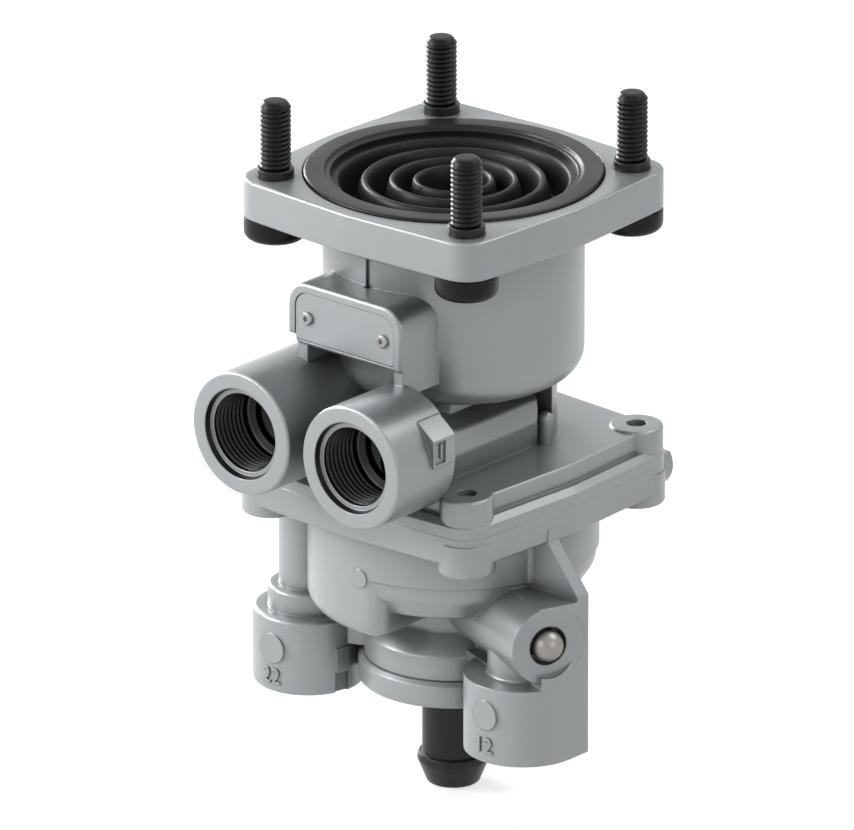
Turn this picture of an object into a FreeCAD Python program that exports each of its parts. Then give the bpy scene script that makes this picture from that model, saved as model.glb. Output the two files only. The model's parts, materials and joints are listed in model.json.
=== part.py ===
import FreeCAD, Part
import math
import os
from FreeCAD import Vector as V

# Truck foot brake valve. Millimetres, +Z up along the plunger's axis.
# The origin is the centre of the top flange's upper face, which meets the pedal's bracket.
# The level ports look along -Y, and the ball plug is on the +X side.

# Flanges
STUD_PITCH = 63.0          # between the M8 studs, both ways
TOP_MID = 41.4             # from the axis to the middle of a side
TOP_CORNER_R = 8.0
TOP_THICK = 10.5
FLANGE_SCREW_PITCH = 65.0  # between the screws that hold the two bodies together
MID_MID = 41.4
MID_CORNER_R = 7.0
CREASE_R = 14.0            # soft bend in the middle of each side
MID_TOP_Z = -69.0          # top of the upper body's lower flange
PARTING_Z = -78.5          # where the two bodies meet
MID_LOW_Z = -86.0          # underside of the lower body's flange
SIDE_INSET = 3.1           # how far the sides stand back between the corner pillars
LIP_Z = -74.0              # where that setback ends
PILLAR_R = 6.8
PILLAR_RISE = 0.6
FRONT_STEP_X, FRONT_STEP_DEEP = 25.0, 3.0   # the flange's top is lower between the level ports' pillars
BOSS_LOW_Z = -89.0         # feet of the screw bosses
EDGE_R = 0.8               # cast edges
ROOT = 4.0                 # how far a hidden end reaches into what carries it
SIDE_BOSS_R = 6.3          # round boss on the lower flange's +Y side
SIDE_BOSS_X, SIDE_BOSS_Y, SIDE_BOSS_Z = 29.3, 43.2, -82.0
SIDE_BOSS_ROOT_Y = 30.0
SCREW_BOSS_R = 7.3

# Upper body
BARREL_R = 32.8
BARREL_WALL = 4.8
BARREL_LOW_Z = -52.0
BARREL_ROUND = 6.6
NECK_R = 26.0
BORE_R = BARREL_R - BARREL_WALL   # bore of the plunger and the primary piston
BORE_FLOOR_Z = -47.4
UPPER_SEAT_Z = -56.5       # upper inlet seat
GUIDE_BORE_R = 14.0
SEAT_HOLE_R = 8.8
SEAT_WEB = 4.5             # thickness of the wall that holds an inlet seat
SEAT_LIP, SEAT_LIP_WIDTH = 1.0, 1.2
CORE_END_Y = -19.0         # how far back port 21 is bored
TIMING_R, TIMING_Y = 1.6, 20.0       # small hole from the upper circuit down to the relay piston
GROOVE_LEFT, GROOVE_RIGHT, GROOVE_DEEP = -0.4, 1.4, 1.6   # upright groove in the barrel above the pad
SPRING_WELL_R = 13.5

# Level ports
PORT_X = 18.2
PORT_Z = -57.5
PORT_FACE_Y = -60.0
PORT_R = 16.0
THREAD_R = 10.2            # wall of an M22 x 1.5 thread
MOUTH_R = 11.9
MOUTH_DEPTH = 1.6
THREAD_DEPTH = 14.0
STEP_R = 8.2
STEP_DEPTH = 17.0
CORE_R = 5.5
DRUM_11_BACK, DRUM_21_BACK = -39.0, -20.0   # where the drums of the level ports end
PASSAGE_R = 4.0            # passages from the level ports to the bores
PASSAGE_X, PASSAGE_Z = 17.0, -61.5
PASSAGE_END = 9.0          # port 11's passage ends this far from the axis in X and in Y

# Ridge beside port 11, and the neck behind it
RIDGE_SECTION = ((22.2, MID_TOP_Z - 1, 0), (23.9, -62.3, 2.5), (21.6, -57.2, 2.5), (15.8, -54.6, 2))
RIDGE_IN_X, RIDGE_IN_TOP_Z = 8.0, -53.6
RIDGE_OUT_X = 24.4
RIDGE_FRONT_Y, RIDGE_END_Y = -45.0, 8.0
RIDGE_END_R = 6.5
NECK_CUT_X, NECK_CUT_Y = 16.5, 9.8   # the neck is cut back beyond X and short of Y
NECK_CORE_R = 19.0

# Raised marks beside the ports
MARK_R = 4.0
MARK_PROUD = 0.25
LABEL_FRONT_Y, LABEL_BACK_Y = -47.8, -39.6
LABEL_LOW_Z, LABEL_TOP_Z = -57.1, -49.9
LABEL_X = 34.9
LABEL_SLANT_X, LABEL_SLANT_Z = 29.7, -45.8
LABEL_MARGIN, LABEL_FIGURES = 0.7, 4.6   # its rim, and the far side of the figures' recess
LABEL_SUNK = 0.6
MARK_22_Z, MARK_12_Z = -128.5, -127.8
MOULD_MARK_R, MOULD_MARK_X = 2.5, 0.6

# Type plate and its pad
PAD_LEFT, PAD_RIGHT = -19.0, 18.5
PAD_TOP_Z, PAD_LOW_Z = -21.5, -38.0
PAD_FACE_Y = -41.3
PAD_ROUND = 6.5
PAD_BACK_Y = -24.0
PAD_WALL = 3.0             # thickness of the leg and of the side wall below the block
PAD_EDGE_R = 1.1
PAD_STEP, PAD_STEP_RISE = 2.4, 2.0   # step in the block's lower left corner
PAD_WALL_SET = 0.8         # how far those walls stand back from the face
PLATE_INSET = 2.5
PLATE_THICK = 0.7
PLATE_SINK = 0.2
PIN_X, PIN_Z = 12.4, -30.6
PIN_R = 1.2
PIN_HEAD_R = 1.8
PIN_HEAD_THICK, PIN_LENGTH = 0.9, 5.0
PIN_HOLE_R = 0.7

# Boot and ring
RING_IN, RING_OUT = 30.8, 37.5
RING_THICK = 3.2
RING_PROUD = 0.7
BOOT_EDGE_R = 36.0
BOOT_EDGE_THICK = 2.3
BOOT_WALL = 1.4
BOOT_CREST_Z = -1.8
BOOT_VALLEY_Z = -10.6
BOOT_FOLD_DEEP = 2.4       # from the outside of a fold to its inside
BOOT_FOLDS = (4.0, 3.9, 3.7, 3.2, 3.1, 2.8, 2.9)   # widths of the half folds, from the foot in to the cup
BOOT_FOOT_OUT = 2.2        # how far outside the bore the boot leaves its clamped edge
BOOT_FOOT_R = BORE_R + BOOT_FOOT_OUT
BOOT_BORE_LOW_Z = -12.2    # the bore is wider down to here to take the outer fold
BOOT_CUP_R = 6.6
BOOT_CUP_Z = -13.0

# Lower body
BOWL_R = 36.7
BOWL_LINE_Z = -98.0
BOWL_LOW_R, BOWL_LOW_Z = 32.4, -107.0
LOBE_LOW_Z = -114.0
LOBE_X, LOBE_Y = 7.0, -10.0
LOBE_SLANT = 14.0          # how much further forward its far side starts
LOBE_CORNER_R, LOBE_FOOT_R = 5.0, 4.0
BOWL_STEP = 0.5            # step at the mould line, where the bowl starts to narrow
BOWL_DRAFT, BOWL_ROUND = 0.4, 6.0
BOWL_KNEE_DEEP = 4.0       # how far below that line the bowl turns in
BOWL_FOOT_IN, BOWL_FOOT_DEEP = 2.5, 1.2
HUB_NECK_R = 18.0
HUB_R = 22.5
HUB_NECK_LOW_Z, HUB_CONE_LOW_Z, HUB_LOW_Z = -116.0, -122.0, -128.0
RELAY_R = 31.0
RELAY_FLOOR_Z = -92.0
LOWER_SEAT_Z = -99.5
BODY_SEAL_R, BODY_SEAL_WIDTH, BODY_SEAL_DEEP = 34.2, 2.4, 2.1

# Ports that open downwards
DOWN_X, DOWN_Y = 35.7, -14.5
DOWN_LOW_Z = -140.4
DOWN_TOP_Z = -120.3
BOSS_22_R = 14.2
COLLAR_R, COLLAR_TOP_Z = 10.4, -114.4
COLUMN_R = 7.6
BOSS_12_R = 15.0
WEB_X = 50.7
WEB_FRONT_Y, WEB_BACK_Y = -11.2, -7.1
WEB_TOP_Z = -98.0
WEB_START_X = 41.0
BEAD_R, BEAD_REACH, BEAD_HEADING = 1.6, 36.1, -16.5
DOWN_WEB = 13.0            # thickness of the walls that join the downward ports to the hub
DOWN_WEB_IN, DOWN_WEB_RISE = 6.0, 0.6
BRACE_FOOT_IN = 6.0        # the brace's slanted lower edge starts this far inside port 12's axis
DRUM_ROUND_22, COLLAR_ROUND = 1.2, 1.0
WEB_PAD_HEADING = -12.0    # degrees round port 22, from +X
WEB_PAD_WIDTH, WEB_PAD_PROUD = 4.2, 0.3
WEB_PAD_LOW_Z, WEB_PAD_TOP_Z = -134.5, -128.0
WEB_SLOT_DEEP = 1.8

# Ball plug
BALL_Z = -109.0
BALL_R = 4.1
BALL_HOLE_R = 5.1
BALL_HOLE_DEPTH = 4.6
BALL_FACE = 52.0           # from the main axis to the flat face
BALL_BOSS_R = 10.0
BALL_BOSS_START = 12.0     # from the main axis to where its boss and its drilling begin
CROSS_START = 8.0
SPOT_FACE_R = 8.3
CREASE_OFFSET = 2.5        # how far the shoulder behind the ball reaches past the drilling's line
CROSS_R = 4.0              # drilling behind the ball, from port 12 to the lower inlet
RISER_R, LINK_R = 4.2, 2.6 # drillings from port 22 up the column and across to the relay bore
LINK_RISE, LINK_REACH = 3.0, 6.0     # how far above the bore's floor the second runs, and its reach in

# Bottom cap and exhaust
CAP_R = 24.0
CAP_LOW_Z = -135.0
CAP_SPIGOT_R = 18.2
CAP_SPIGOT_TOP_Z = -124.8
NOZZLE_R = 7.9
NOZZLE_BORE_R = 5.2
NOZZLE_LOW_Z = -163.3
BARB_R = 9.15
BARB_Z = -156.5

# Screws
M8_R, M8_SHANK_R, M8_HEAD_R = 4.0, 3.3, 8.0
M8_HEAD_THICK = 5.9
M8_TIP_Z = 20.0
M8_TIP, M8_TIP_IN = 1.5, 1.1
M8_HEAD_ROUND = 2.3
M5_TIP_SUNK = 1.2          # how far the tips end below the tops of the pillars
COLLAR_OUT_R, COLLAR_TOP, COLLAR_DEEP = 4.7, 2.4, 4.0
HEX_FLATS, HEX_DEEP = 6.0, 3.6
M5_FLATS, M5_DEEP = 4.0, 2.6
M5_R, M5_HEAD_R, M5_HEAD_THICK = 2.5, 4.25, 5.0
M5_SEAT_Z = -83.8

# Clearances
RUN = 0.05                 # radial, of a sliding fit
SEATED = 0.02              # radial, of a piece that is pressed or screwed home
LOOSE = 0.25               # round screws, springs and free pieces
FACE_GAP = 0.1             # between faces that only meet under air or spring load

# Travel
PLUNGER_TRAVEL = 11.0
PISTON_TRAVEL = 3.0
VALVE_TRAVEL = 1.0
EXHAUST_GAP = PISTON_TRAVEL - VALVE_TRAVEL + 0.1

# Working pieces
STOP_RING_Z = -16.4        # underside of the plunger's stop ring
SNAP_THICK = 1.4
SNAP_DEEP = 1.2            # how far a snap ring reaches into its groove
SNAP_REACH = 2.4           # and how far it stands into the bore
PLUNGER_SKIRT = 8.0
PLUNGER_WEB = 3.2
KNOB_R = 6.3
PISTON_TOP_Z = -37.2
PISTON_SKIRT = 6.8
PISTON_WEB = 2.6
STEM_R, STEM_BORE_R = 6.2, 4.3
SEAL_WIDTH, SEAL_DEEP = 2.6, 2.3
VALVE_HEAD_R, VALVE_HEAD_THICK = 11.4, 3.2
FACING_THICK = 1.4
VALVE_STEM_R, VALVE_STEM_BORE_R = 5.4, 3.9
GUIDE_TOP_Z, GUIDE_LOW_Z = -64.0, -76.0
GUIDE_CUP_Z = -69.0
RELAY_TUBE_R, RELAY_TUBE_BORE_R = 8.4, 6.0
RELAY_TUBE_TOP_Z = -71.2
RELAY_TOP_Z = -81.0
RELAY_SKIRT = 7.0
RELAY_WEB = 3.4
LOW_GUIDE_TOP_Z, LOW_GUIDE_LOW_Z = -114.6, -122.0
GRADUATING_IN = 8.5        # from the bore's wall to the middle of the graduating spring's wire
RETURN_COIL_R = 11.0       # middle of the wire of both return springs
VALVE_COIL_R = 8.6         # and of both valve springs
GRADUATING_WIRE_R, PISTON_WIRE_R, RELAY_WIRE_R = 1.6, 0.8, 0.9
UPPER_VALVE_WIRE_R, LOWER_VALVE_WIRE_R = 0.5, 0.7
COIL_STEPS = 18            # straight lengths in a turn of a spring
STEM_SEAT = 1.6            # steps beside a piston's stem, where its springs sit
RELAY_STEM_SEAT = 1.2


# Drawing helpers

def flat(z):
    return lambda a, b: V(a, b, z)


def lathe(r, z):
    return V(r, 0, z)


def upright(y):
    return lambda a, b: V(a, y, b)


def outline(corners, place):
    """A face from corners (a, b) or (a, b, radius), where place turns (a, b) into a point."""
    count = len(corners)
    points = [V(c[0], c[1], 0) for c in corners]
    starts, ends, middles = [], [], []
    for i, corner in enumerate(corners):
        here = points[i]
        back = (points[i - 1] - here).normalize()
        ahead = (points[(i + 1) % count] - here).normalize()
        radius = corner[2] if len(corner) > 2 else 0
        if not radius:
            starts.append(here)
            ends.append(here)
            middles.append(None)
            continue
        half = back.getAngle(ahead) / 2
        trim = radius / math.tan(half)
        bisector = (back + ahead).normalize()
        starts.append(here + back * trim)
        ends.append(here + ahead * trim)
        middles.append(here + bisector * (radius / math.sin(half) - radius))
    edges = []
    for i in range(count):
        if middles[i] is not None:
            arc = [place(p.x, p.y) for p in (starts[i], middles[i], ends[i])]
            edges.append(Part.Arc(*arc).toShape())
        a, b = ends[i], starts[(i + 1) % count]
        if a.distanceToPoint(b) > 1e-6:
            edges.append(Part.LineSegment(place(a.x, a.y), place(b.x, b.y)).toShape())
    return Part.Face(Part.Wire(edges))


def turned(corners):
    """A solid of revolution about the main axis, from corners (r, z) or (r, z, radius)."""
    return outline(corners, lathe).revolve(V(0, 0, 0), V(0, 0, 1), 360)


def slab(corners, low_z, high_z):
    """A plate from corners (x, y) or (x, y, radius)."""
    return outline(corners, flat(low_z)).extrude(V(0, 0, high_z - low_z))


def wall(corners, front_y, back_y):
    """A plate that stands across Y, from corners (x, z) or (x, z, radius)."""
    return outline(corners, upright(front_y)).extrude(V(0, back_y - front_y, 0))


def rod(r, low_z, high_z, x=0, y=0):
    return Part.makeCylinder(r, high_z - low_z, V(x, y, low_z))


def tube(inner, outer, low_z, high_z, x=0, y=0):
    return rod(outer, low_z, high_z, x, y).cut(rod(inner, low_z - 1, high_z + 1, x, y))


def bar(r, start, end):
    """A round bar from one point to another."""
    return Part.makeCylinder(r, (end - start).Length, start, end - start)


def box(x, y, z):
    """A block from (low, high) on each axis."""
    return Part.makeBox(x[1] - x[0], y[1] - y[0], z[1] - z[0], V(x[0], y[0], z[0]))


def moved(shape, x, y, z=0):
    shape = shape.copy()
    shape.translate(V(x, y, z))
    return shape


def fused(shapes):
    return shapes[0].multiFuse(shapes[1:]).removeSplitter()


def square(pitch):
    half = pitch / 2
    return [(half, half), (-half, half), (-half, -half), (half, -half)]


def at_corners(shape, pitch):
    return [moved(shape, x, y) for x, y in square(pitch)]


def corner_vertex(mid, centre, r):
    """Where two sides of a cushion outline would meet if its corner weren't round."""
    reach = math.hypot(mid - centre, centre)
    lean = math.atan2(mid - centre, centre) - math.asin(r / reach)
    return mid / (1 + math.tan(lean))


def cushion(mid, centre, r, low_z, high_z):
    """A square plate with round corners, whose sides bulge to a soft crease in their middle."""
    c = corner_vertex(mid, centre, r)
    corners = []
    for x, y in ((1, 0), (0, 1), (-1, 0), (0, -1)):
        corners.append((mid * x, mid * y, CREASE_R))
        corners.append((c * (x - y), c * (y + x), r))
    return slab(corners, low_z, high_z)


def level_edges(shape, *heights):
    """The edges that lie flat at the given heights."""
    return [
        e for e in shape.Edges
        if any(abs(e.BoundBox.ZMin - z) < 1e-4 and abs(e.BoundBox.ZMax - z) < 1e-4 for z in heights)
    ]


def rounded(shape, r, *heights):
    return shape.makeFillet(r, level_edges(shape, *heights))


def coil(mean_r, wire_r, low_z, high_z, turns):
    """A compression spring whose wire lies between two heights, in short straight lengths."""
    height = high_z - low_z - 2 * wire_r
    steps = int(turns * COIL_STEPS)
    lead = height / (2 * math.pi * mean_r * turns)
    section = Part.Wire(Part.makeCircle(wire_r, V(mean_r, 0, 0), V(0, 1, lead)))
    rings = []
    for i in range(steps + 1):
        ring = section.copy()
        ring.rotate(V(0, 0, 0), V(0, 0, 1), 360 * turns * i / steps)
        rings.append(moved(ring, 0, 0, low_z + wire_r + height * i / steps))
    return Part.makeLoft(rings, True, True)


def snap_ring(bore_r, z, thick):
    """An open wire ring in a groove of a bore, with its gap on the +Y side."""
    ring = tube(bore_r - SNAP_REACH, bore_r + SNAP_DEEP - LOOSE, z, z + thick)
    gap = box((-4, 4), (0, bore_r + SNAP_REACH), (z - 1, z + thick + 1))
    return ring.cut(gap)


def snap_groove(bore_r, z, thick):
    return rod(bore_r + SNAP_DEEP, z - SEATED, z + thick + SEATED)


def seal_groove(r, z):
    """The groove of a piston seal, cut from the piston."""
    return tube(r - SEAL_DEEP, r + 1, z - SEAL_WIDTH / 2 - SEATED, z + SEAL_WIDTH / 2 + SEATED)


def seal(r, z):
    """A piston seal with a rounded lip, which fills its groove."""
    half = SEAL_WIDTH / 2
    inner = r - SEAL_DEEP + SEATED
    corners = [(inner, z - half), (r, z - half, 0.8), (r, z + half, 0.8), (inner, z + half)]
    return turned(corners)


# Upper body

def port_drilling():
    """The stepped hole of a port, along +Z from its face at the origin."""
    return turned([
        (0, 1), (MOUTH_R, 1), (MOUTH_R, 0), (MOUTH_R - 0.6, -MOUTH_DEPTH), (THREAD_R, -MOUTH_DEPTH),
        (THREAD_R, -THREAD_DEPTH), (STEP_R, -THREAD_DEPTH - 1), (STEP_R, -STEP_DEPTH),
        (CORE_R, -STEP_DEPTH - 2), (0, -STEP_DEPTH - 2),
    ])


def level(shape, x):
    """Turns a shape drawn below the origin into one that runs back along +Y from a level port's face."""
    shape = shape.copy()
    shape.rotate(V(0, 0, 0), V(1, 0, 0), 90)
    return moved(shape, x, PORT_FACE_Y, PORT_Z)


def level_port(x, back):
    length = back - PORT_FACE_Y
    return level(rounded(rod(PORT_R, -length, 0), EDGE_R, 0), x)


def label_11():
    """The raised label on the side of port 11's drum: a slanted face over an upright one."""
    return wall([
        (PORT_X, LABEL_LOW_Z), (LABEL_X, LABEL_LOW_Z), (LABEL_X, LABEL_TOP_Z), (LABEL_SLANT_X, LABEL_SLANT_Z),
        (PORT_X, LABEL_SLANT_Z - ROOT),
    ], LABEL_FRONT_Y, LABEL_BACK_Y)


def label_recess():
    """The shallow recess in the label that holds the figures."""
    margin = LABEL_MARGIN
    return box((LABEL_X - LABEL_SUNK, LABEL_X + 1), (LABEL_FRONT_Y + margin, LABEL_FRONT_Y + LABEL_FIGURES),
               (LABEL_LOW_Z + margin, LABEL_TOP_Z - margin))


def pad():
    """The block that carries the type plate, with the leg and the side wall that reach the ports."""
    block = wall([
        (PAD_LEFT, PAD_TOP_Z, PAD_ROUND), (PAD_RIGHT, PAD_TOP_Z, PAD_ROUND),
        (PAD_RIGHT, PAD_LOW_Z, 0.5), (PAD_LEFT + PAD_STEP, PAD_LOW_Z, 0.5),
        (PAD_LEFT + PAD_STEP, PAD_LOW_Z + PAD_STEP_RISE), (PAD_LEFT, PAD_LOW_Z + PAD_STEP_RISE, 0.5),
    ], PAD_FACE_Y, PAD_BACK_Y)
    above_step = PAD_LOW_Z + PAD_STEP_RISE + 1
    front = [e for e in block.Edges if e.BoundBox.YMax < PAD_FACE_Y + 1e-4 and e.BoundBox.ZMax > above_step]
    block = block.makeFillet(PAD_EDGE_R, front)
    walls = []
    for low_x in (PAD_LEFT + PAD_WALL, PAD_RIGHT - PAD_WALL):
        walls.append(box((low_x, low_x + PAD_WALL), (PAD_FACE_Y + PAD_WALL_SET, PAD_BACK_Y),
                         (PORT_Z + PORT_R - PAD_WALL, PAD_LOW_Z + 1)))
    return block.fuse(walls)


def plate_outline(gap):
    inset = PLATE_INSET + gap
    top = PAD_TOP_Z - inset
    low = PAD_LOW_Z + 1.2 + gap
    r = PAD_ROUND - PLATE_INSET
    left, right = PAD_LEFT + inset, PAD_RIGHT - inset
    return [(left, top, r), (right, top, r), (right, low, 1), (left, low, 1)]


def ridge():
    """The cored passage beside port 11, which runs along the neck to a round end."""
    low = MID_TOP_Z - 1
    inner = [(RIDGE_IN_X, RIDGE_IN_TOP_Z), (RIDGE_IN_X, low)]
    solid = wall(list(RIDGE_SECTION) + inner, RIDGE_FRONT_Y, RIDGE_END_Y)
    flank = RIDGE_OUT_X - RIDGE_END_R
    end = RIDGE_END_Y - RIDGE_END_R
    front = RIDGE_FRONT_Y - 1
    rounding = fused([
        rod(RIDGE_END_R, low, BARREL_LOW_Z, flank, end),
        box((0, RIDGE_OUT_X), (front, end), (low, BARREL_LOW_Z)),
        box((0, flank), (front, RIDGE_END_Y), (low, BARREL_LOW_Z)),
    ])
    return solid.common(rounding)


def neck():
    low, top = MID_TOP_Z - 1, BARREL_LOW_Z + 1
    beside_ridge = box((NECK_CUT_X, NECK_R + 1), (-NECK_R - 1, NECK_CUT_Y), (low - 1, BARREL_LOW_Z))
    return rod(NECK_R, low, top).cut(beside_ridge).fuse(rod(NECK_CORE_R, low, top))


def upper_flange():
    """The upper half of the middle flange: setback sides, a sloped lip and four screw pillars."""
    half = FLANGE_SCREW_PITCH / 2
    lower = cushion(MID_MID, half, MID_CORNER_R, PARTING_Z, LIP_Z)
    lower = lower.makeChamfer(SIDE_INSET / 2, level_edges(lower, LIP_Z))
    upper = cushion(MID_MID - SIDE_INSET, half, MID_CORNER_R - SIDE_INSET, LIP_Z - 2, MID_TOP_Z)
    upper = rounded(upper, EDGE_R, MID_TOP_Z)
    front_step = box((-FRONT_STEP_X, FRONT_STEP_X), (-MID_MID - 1, -MID_MID + 11),
                     (MID_TOP_Z - FRONT_STEP_DEEP, MID_TOP_Z + 1))
    pillar = rounded(rod(PILLAR_R, PARTING_Z, MID_TOP_Z + PILLAR_RISE), EDGE_R, MID_TOP_Z + PILLAR_RISE)
    return [lower, upper.cut(front_step)] + at_corners(pillar, FLANGE_SCREW_PITCH)


def upper_cavities():
    """Everything that is bored or cored out of the upper body."""
    ring_floor = RING_PROUD - RING_THICK
    edge_floor = ring_floor - BOOT_EDGE_THICK - FACE_GAP
    seat_top = UPPER_SEAT_Z + SEAT_WEB
    cuts = [
        rod(RING_OUT + 0.4, ring_floor, 1),
        rod(BOOT_EDGE_R + LOOSE, edge_floor, ring_floor + 0.5),
        rod(BOOT_FOOT_R + LOOSE, BOOT_BORE_LOW_Z, edge_floor + 0.5),
        rod(BORE_R, BORE_FLOOR_Z, BOOT_BORE_LOW_Z + 0.5),
        snap_groove(BORE_R, STOP_RING_Z, SNAP_THICK),
        rod(SPRING_WELL_R, seat_top, BORE_FLOOR_Z + 0.5),
        rod(SEAT_HOLE_R, UPPER_SEAT_Z - 1, seat_top + 1),
        rod(GUIDE_BORE_R, PARTING_Z - 1, UPPER_SEAT_Z + SEAT_LIP).cut(
            tube(SEAT_HOLE_R, SEAT_HOLE_R + SEAT_LIP_WIDTH, UPPER_SEAT_Z, UPPER_SEAT_Z + SEAT_LIP + 1)
        ),
        snap_groove(GUIDE_BORE_R, GUIDE_LOW_Z - FACE_GAP - SNAP_THICK, SNAP_THICK),
    ]
    for side in (-1, 1):
        cuts.append(level(port_drilling(), side * PORT_X))
    back = PORT_FACE_Y + STEP_DEPTH
    cuts.append(bar(PASSAGE_R, V(PASSAGE_X, back, PASSAGE_Z), V(PASSAGE_END, -PASSAGE_END, PASSAGE_Z)))
    cuts.append(bar(CORE_R, V(-PORT_X, back, PORT_Z), V(-PORT_X, CORE_END_Y, PORT_Z)))
    cuts.append(rod(PASSAGE_R, PORT_Z, BORE_FLOOR_Z + 1, -PORT_X, CORE_END_Y))
    cuts.append(rod(TIMING_R, PARTING_Z - 1, BORE_FLOOR_Z + 1, 0, TIMING_Y))
    cuts.append(box((GROOVE_LEFT, GROOVE_RIGHT), (-BARREL_R - 1, -BARREL_R + GROOVE_DEEP),
                    (PAD_TOP_Z - 1, -TOP_THICK)))
    stud_hole = rod(COLLAR_OUT_R + SEATED, -COLLAR_DEEP, 1).fuse(rod(M8_R + LOOSE, -TOP_THICK - 1, 1))
    cuts += at_corners(stud_hole, STUD_PITCH)
    cuts += at_corners(rod(M5_R + SEATED, PARTING_Z - 1, MID_TOP_Z + 2), FLANGE_SCREW_PITCH)
    cuts.append(label_recess())
    cuts.append(wall(plate_outline(0), PAD_FACE_Y - 1, PAD_FACE_Y + PLATE_SINK + PLATE_THICK))
    for x in (-PIN_X, PIN_X):
        mouth, end = V(x, PAD_FACE_Y - 1, PIN_Z), V(x, PAD_FACE_Y + PIN_LENGTH + 1, PIN_Z)
        cuts.append(bar(PIN_R + SEATED, mouth, end))
    return cuts


def upper_body():
    half = STUD_PITCH / 2
    top = rounded(cushion(TOP_MID, half, TOP_CORNER_R, -TOP_THICK, 0), EDGE_R, 0, -TOP_THICK)
    barrel = turned([
        (0, -4), (BARREL_R + 2, -4), (BARREL_R + 2, -TOP_THICK), (BARREL_R, -TOP_THICK, 1.8),
        (BARREL_R, BARREL_LOW_Z, BARREL_ROUND), (NECK_R, BARREL_LOW_Z), (0, BARREL_LOW_Z),
    ])
    ports = [level_port(-PORT_X, DRUM_21_BACK), level_port(PORT_X, DRUM_11_BACK)]
    body = fused([top, barrel, neck(), pad(), ridge(), label_11()] + ports + upper_flange())
    return body.cut(upper_cavities())


# Lower body

def outward():
    """The level direction from the main axis through port 12, along which the cross drilling runs."""
    return V(DOWN_X, DOWN_Y, 0).normalize()


def along(distance, z):
    return outward() * distance + V(0, 0, z)


def bowl_and_hub():
    return turned([
        (0, PARTING_Z - 2), (BOWL_R, PARTING_Z - 2), (BOWL_R, BOWL_LINE_Z), (BOWL_R - BOWL_STEP, BOWL_LINE_Z),
        (BOWL_R - BOWL_STEP - BOWL_DRAFT, BOWL_LINE_Z - BOWL_KNEE_DEEP, BOWL_ROUND),
        (BOWL_LOW_R, BOWL_LOW_Z, 2), (BOWL_LOW_R - BOWL_FOOT_IN, BOWL_LOW_Z - BOWL_FOOT_DEEP),
        (HUB_NECK_R, BOWL_LOW_Z - BOWL_FOOT_DEEP, 1.5), (HUB_NECK_R, HUB_NECK_LOW_Z, 3),
        (HUB_R, HUB_CONE_LOW_Z, 2), (HUB_R, HUB_LOW_Z), (0, HUB_LOW_Z),
    ])


def lobe():
    """The chamber that hangs below the bowl on the side of port 22."""
    drum = rod(BOWL_R, LOBE_LOW_Z, BOWL_LINE_Z + ROOT)
    side = -BOWL_R - ROOT
    sector = slab([(LOBE_X, LOBE_Y), (LOBE_X, side), (side, side), (side, LOBE_Y - LOBE_SLANT)],
                  LOBE_LOW_Z, BOWL_LINE_Z + ROOT)
    piece = drum.common(sector)
    corner = [
        e for e in piece.Edges
        if abs(e.BoundBox.XMax - LOBE_X) < 1e-4 and e.BoundBox.XLength < 1e-4 and e.BoundBox.YMax < LOBE_Y - 5
        and e.BoundBox.ZLength > 5
    ]
    piece = piece.makeFillet(LOBE_CORNER_R, corner)
    bottom = [e for e in level_edges(piece, LOBE_LOW_Z) if e.BoundBox.YMin < LOBE_Y - 8]
    return piece.makeFillet(LOBE_FOOT_R, bottom)


def port_22():
    z = DOWN_LOW_Z
    x, y = -DOWN_X, DOWN_Y
    boss = rounded(rod(BOSS_22_R, z, DOWN_TOP_Z, x, y), DRUM_ROUND_22, z, DOWN_TOP_Z)
    collar = rounded(rod(COLLAR_R, DOWN_TOP_Z - 1, COLLAR_TOP_Z, x, y), COLLAR_ROUND, COLLAR_TOP_Z)
    column = rod(COLUMN_R, COLLAR_TOP_Z - 1, PARTING_Z - 5, x, y)
    return [boss, collar, column, down_web(-1), down_mark(x, BOSS_22_R, MARK_22_Z), web_pad()]


def down_mark(x, drum_r, z):
    """A raised disc with a flat face, on the -Y side of a downward port's drum."""
    return bar(MARK_R, V(x, DOWN_Y - drum_r / 2, z), V(x, DOWN_Y - drum_r - MARK_PROUD, z))


def web_pad():
    """A small raised pad on the side of port 22's drum that faces the hub."""
    pad_block = box((BOSS_22_R - 3, BOSS_22_R + WEB_PAD_PROUD), (-WEB_PAD_WIDTH / 2, WEB_PAD_WIDTH / 2),
                    (WEB_PAD_LOW_Z, WEB_PAD_TOP_Z))
    return beside_22(pad_block)


def web_slot():
    """The slot below that pad."""
    slot = box((BOSS_22_R - WEB_SLOT_DEEP, BOSS_22_R + 2), (-WEB_PAD_WIDTH / 2, WEB_PAD_WIDTH / 2),
               (DOWN_LOW_Z - 1, WEB_PAD_LOW_Z))
    return beside_22(slot)


def beside_22(shape):
    """Turns a shape drawn towards +X to its place round port 22's drum."""
    shape = shape.copy()
    shape.rotate(V(0, 0, 0), V(0, 0, 1), WEB_PAD_HEADING)
    return moved(shape, -DOWN_X, DOWN_Y)


def down_web(side):
    """The wall that joins a downward port to the hub."""
    length = math.hypot(DOWN_X, DOWN_Y)
    web = box((HUB_R - DOWN_WEB_IN, length), (-DOWN_WEB / 2, DOWN_WEB / 2),
              (HUB_LOW_Z + DOWN_WEB_RISE, HUB_NECK_LOW_Z - ROOT))
    angle = math.degrees(math.atan2(DOWN_Y, side * DOWN_X))
    web.rotate(V(0, 0, 0), V(0, 0, 1), angle)
    return web


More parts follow.
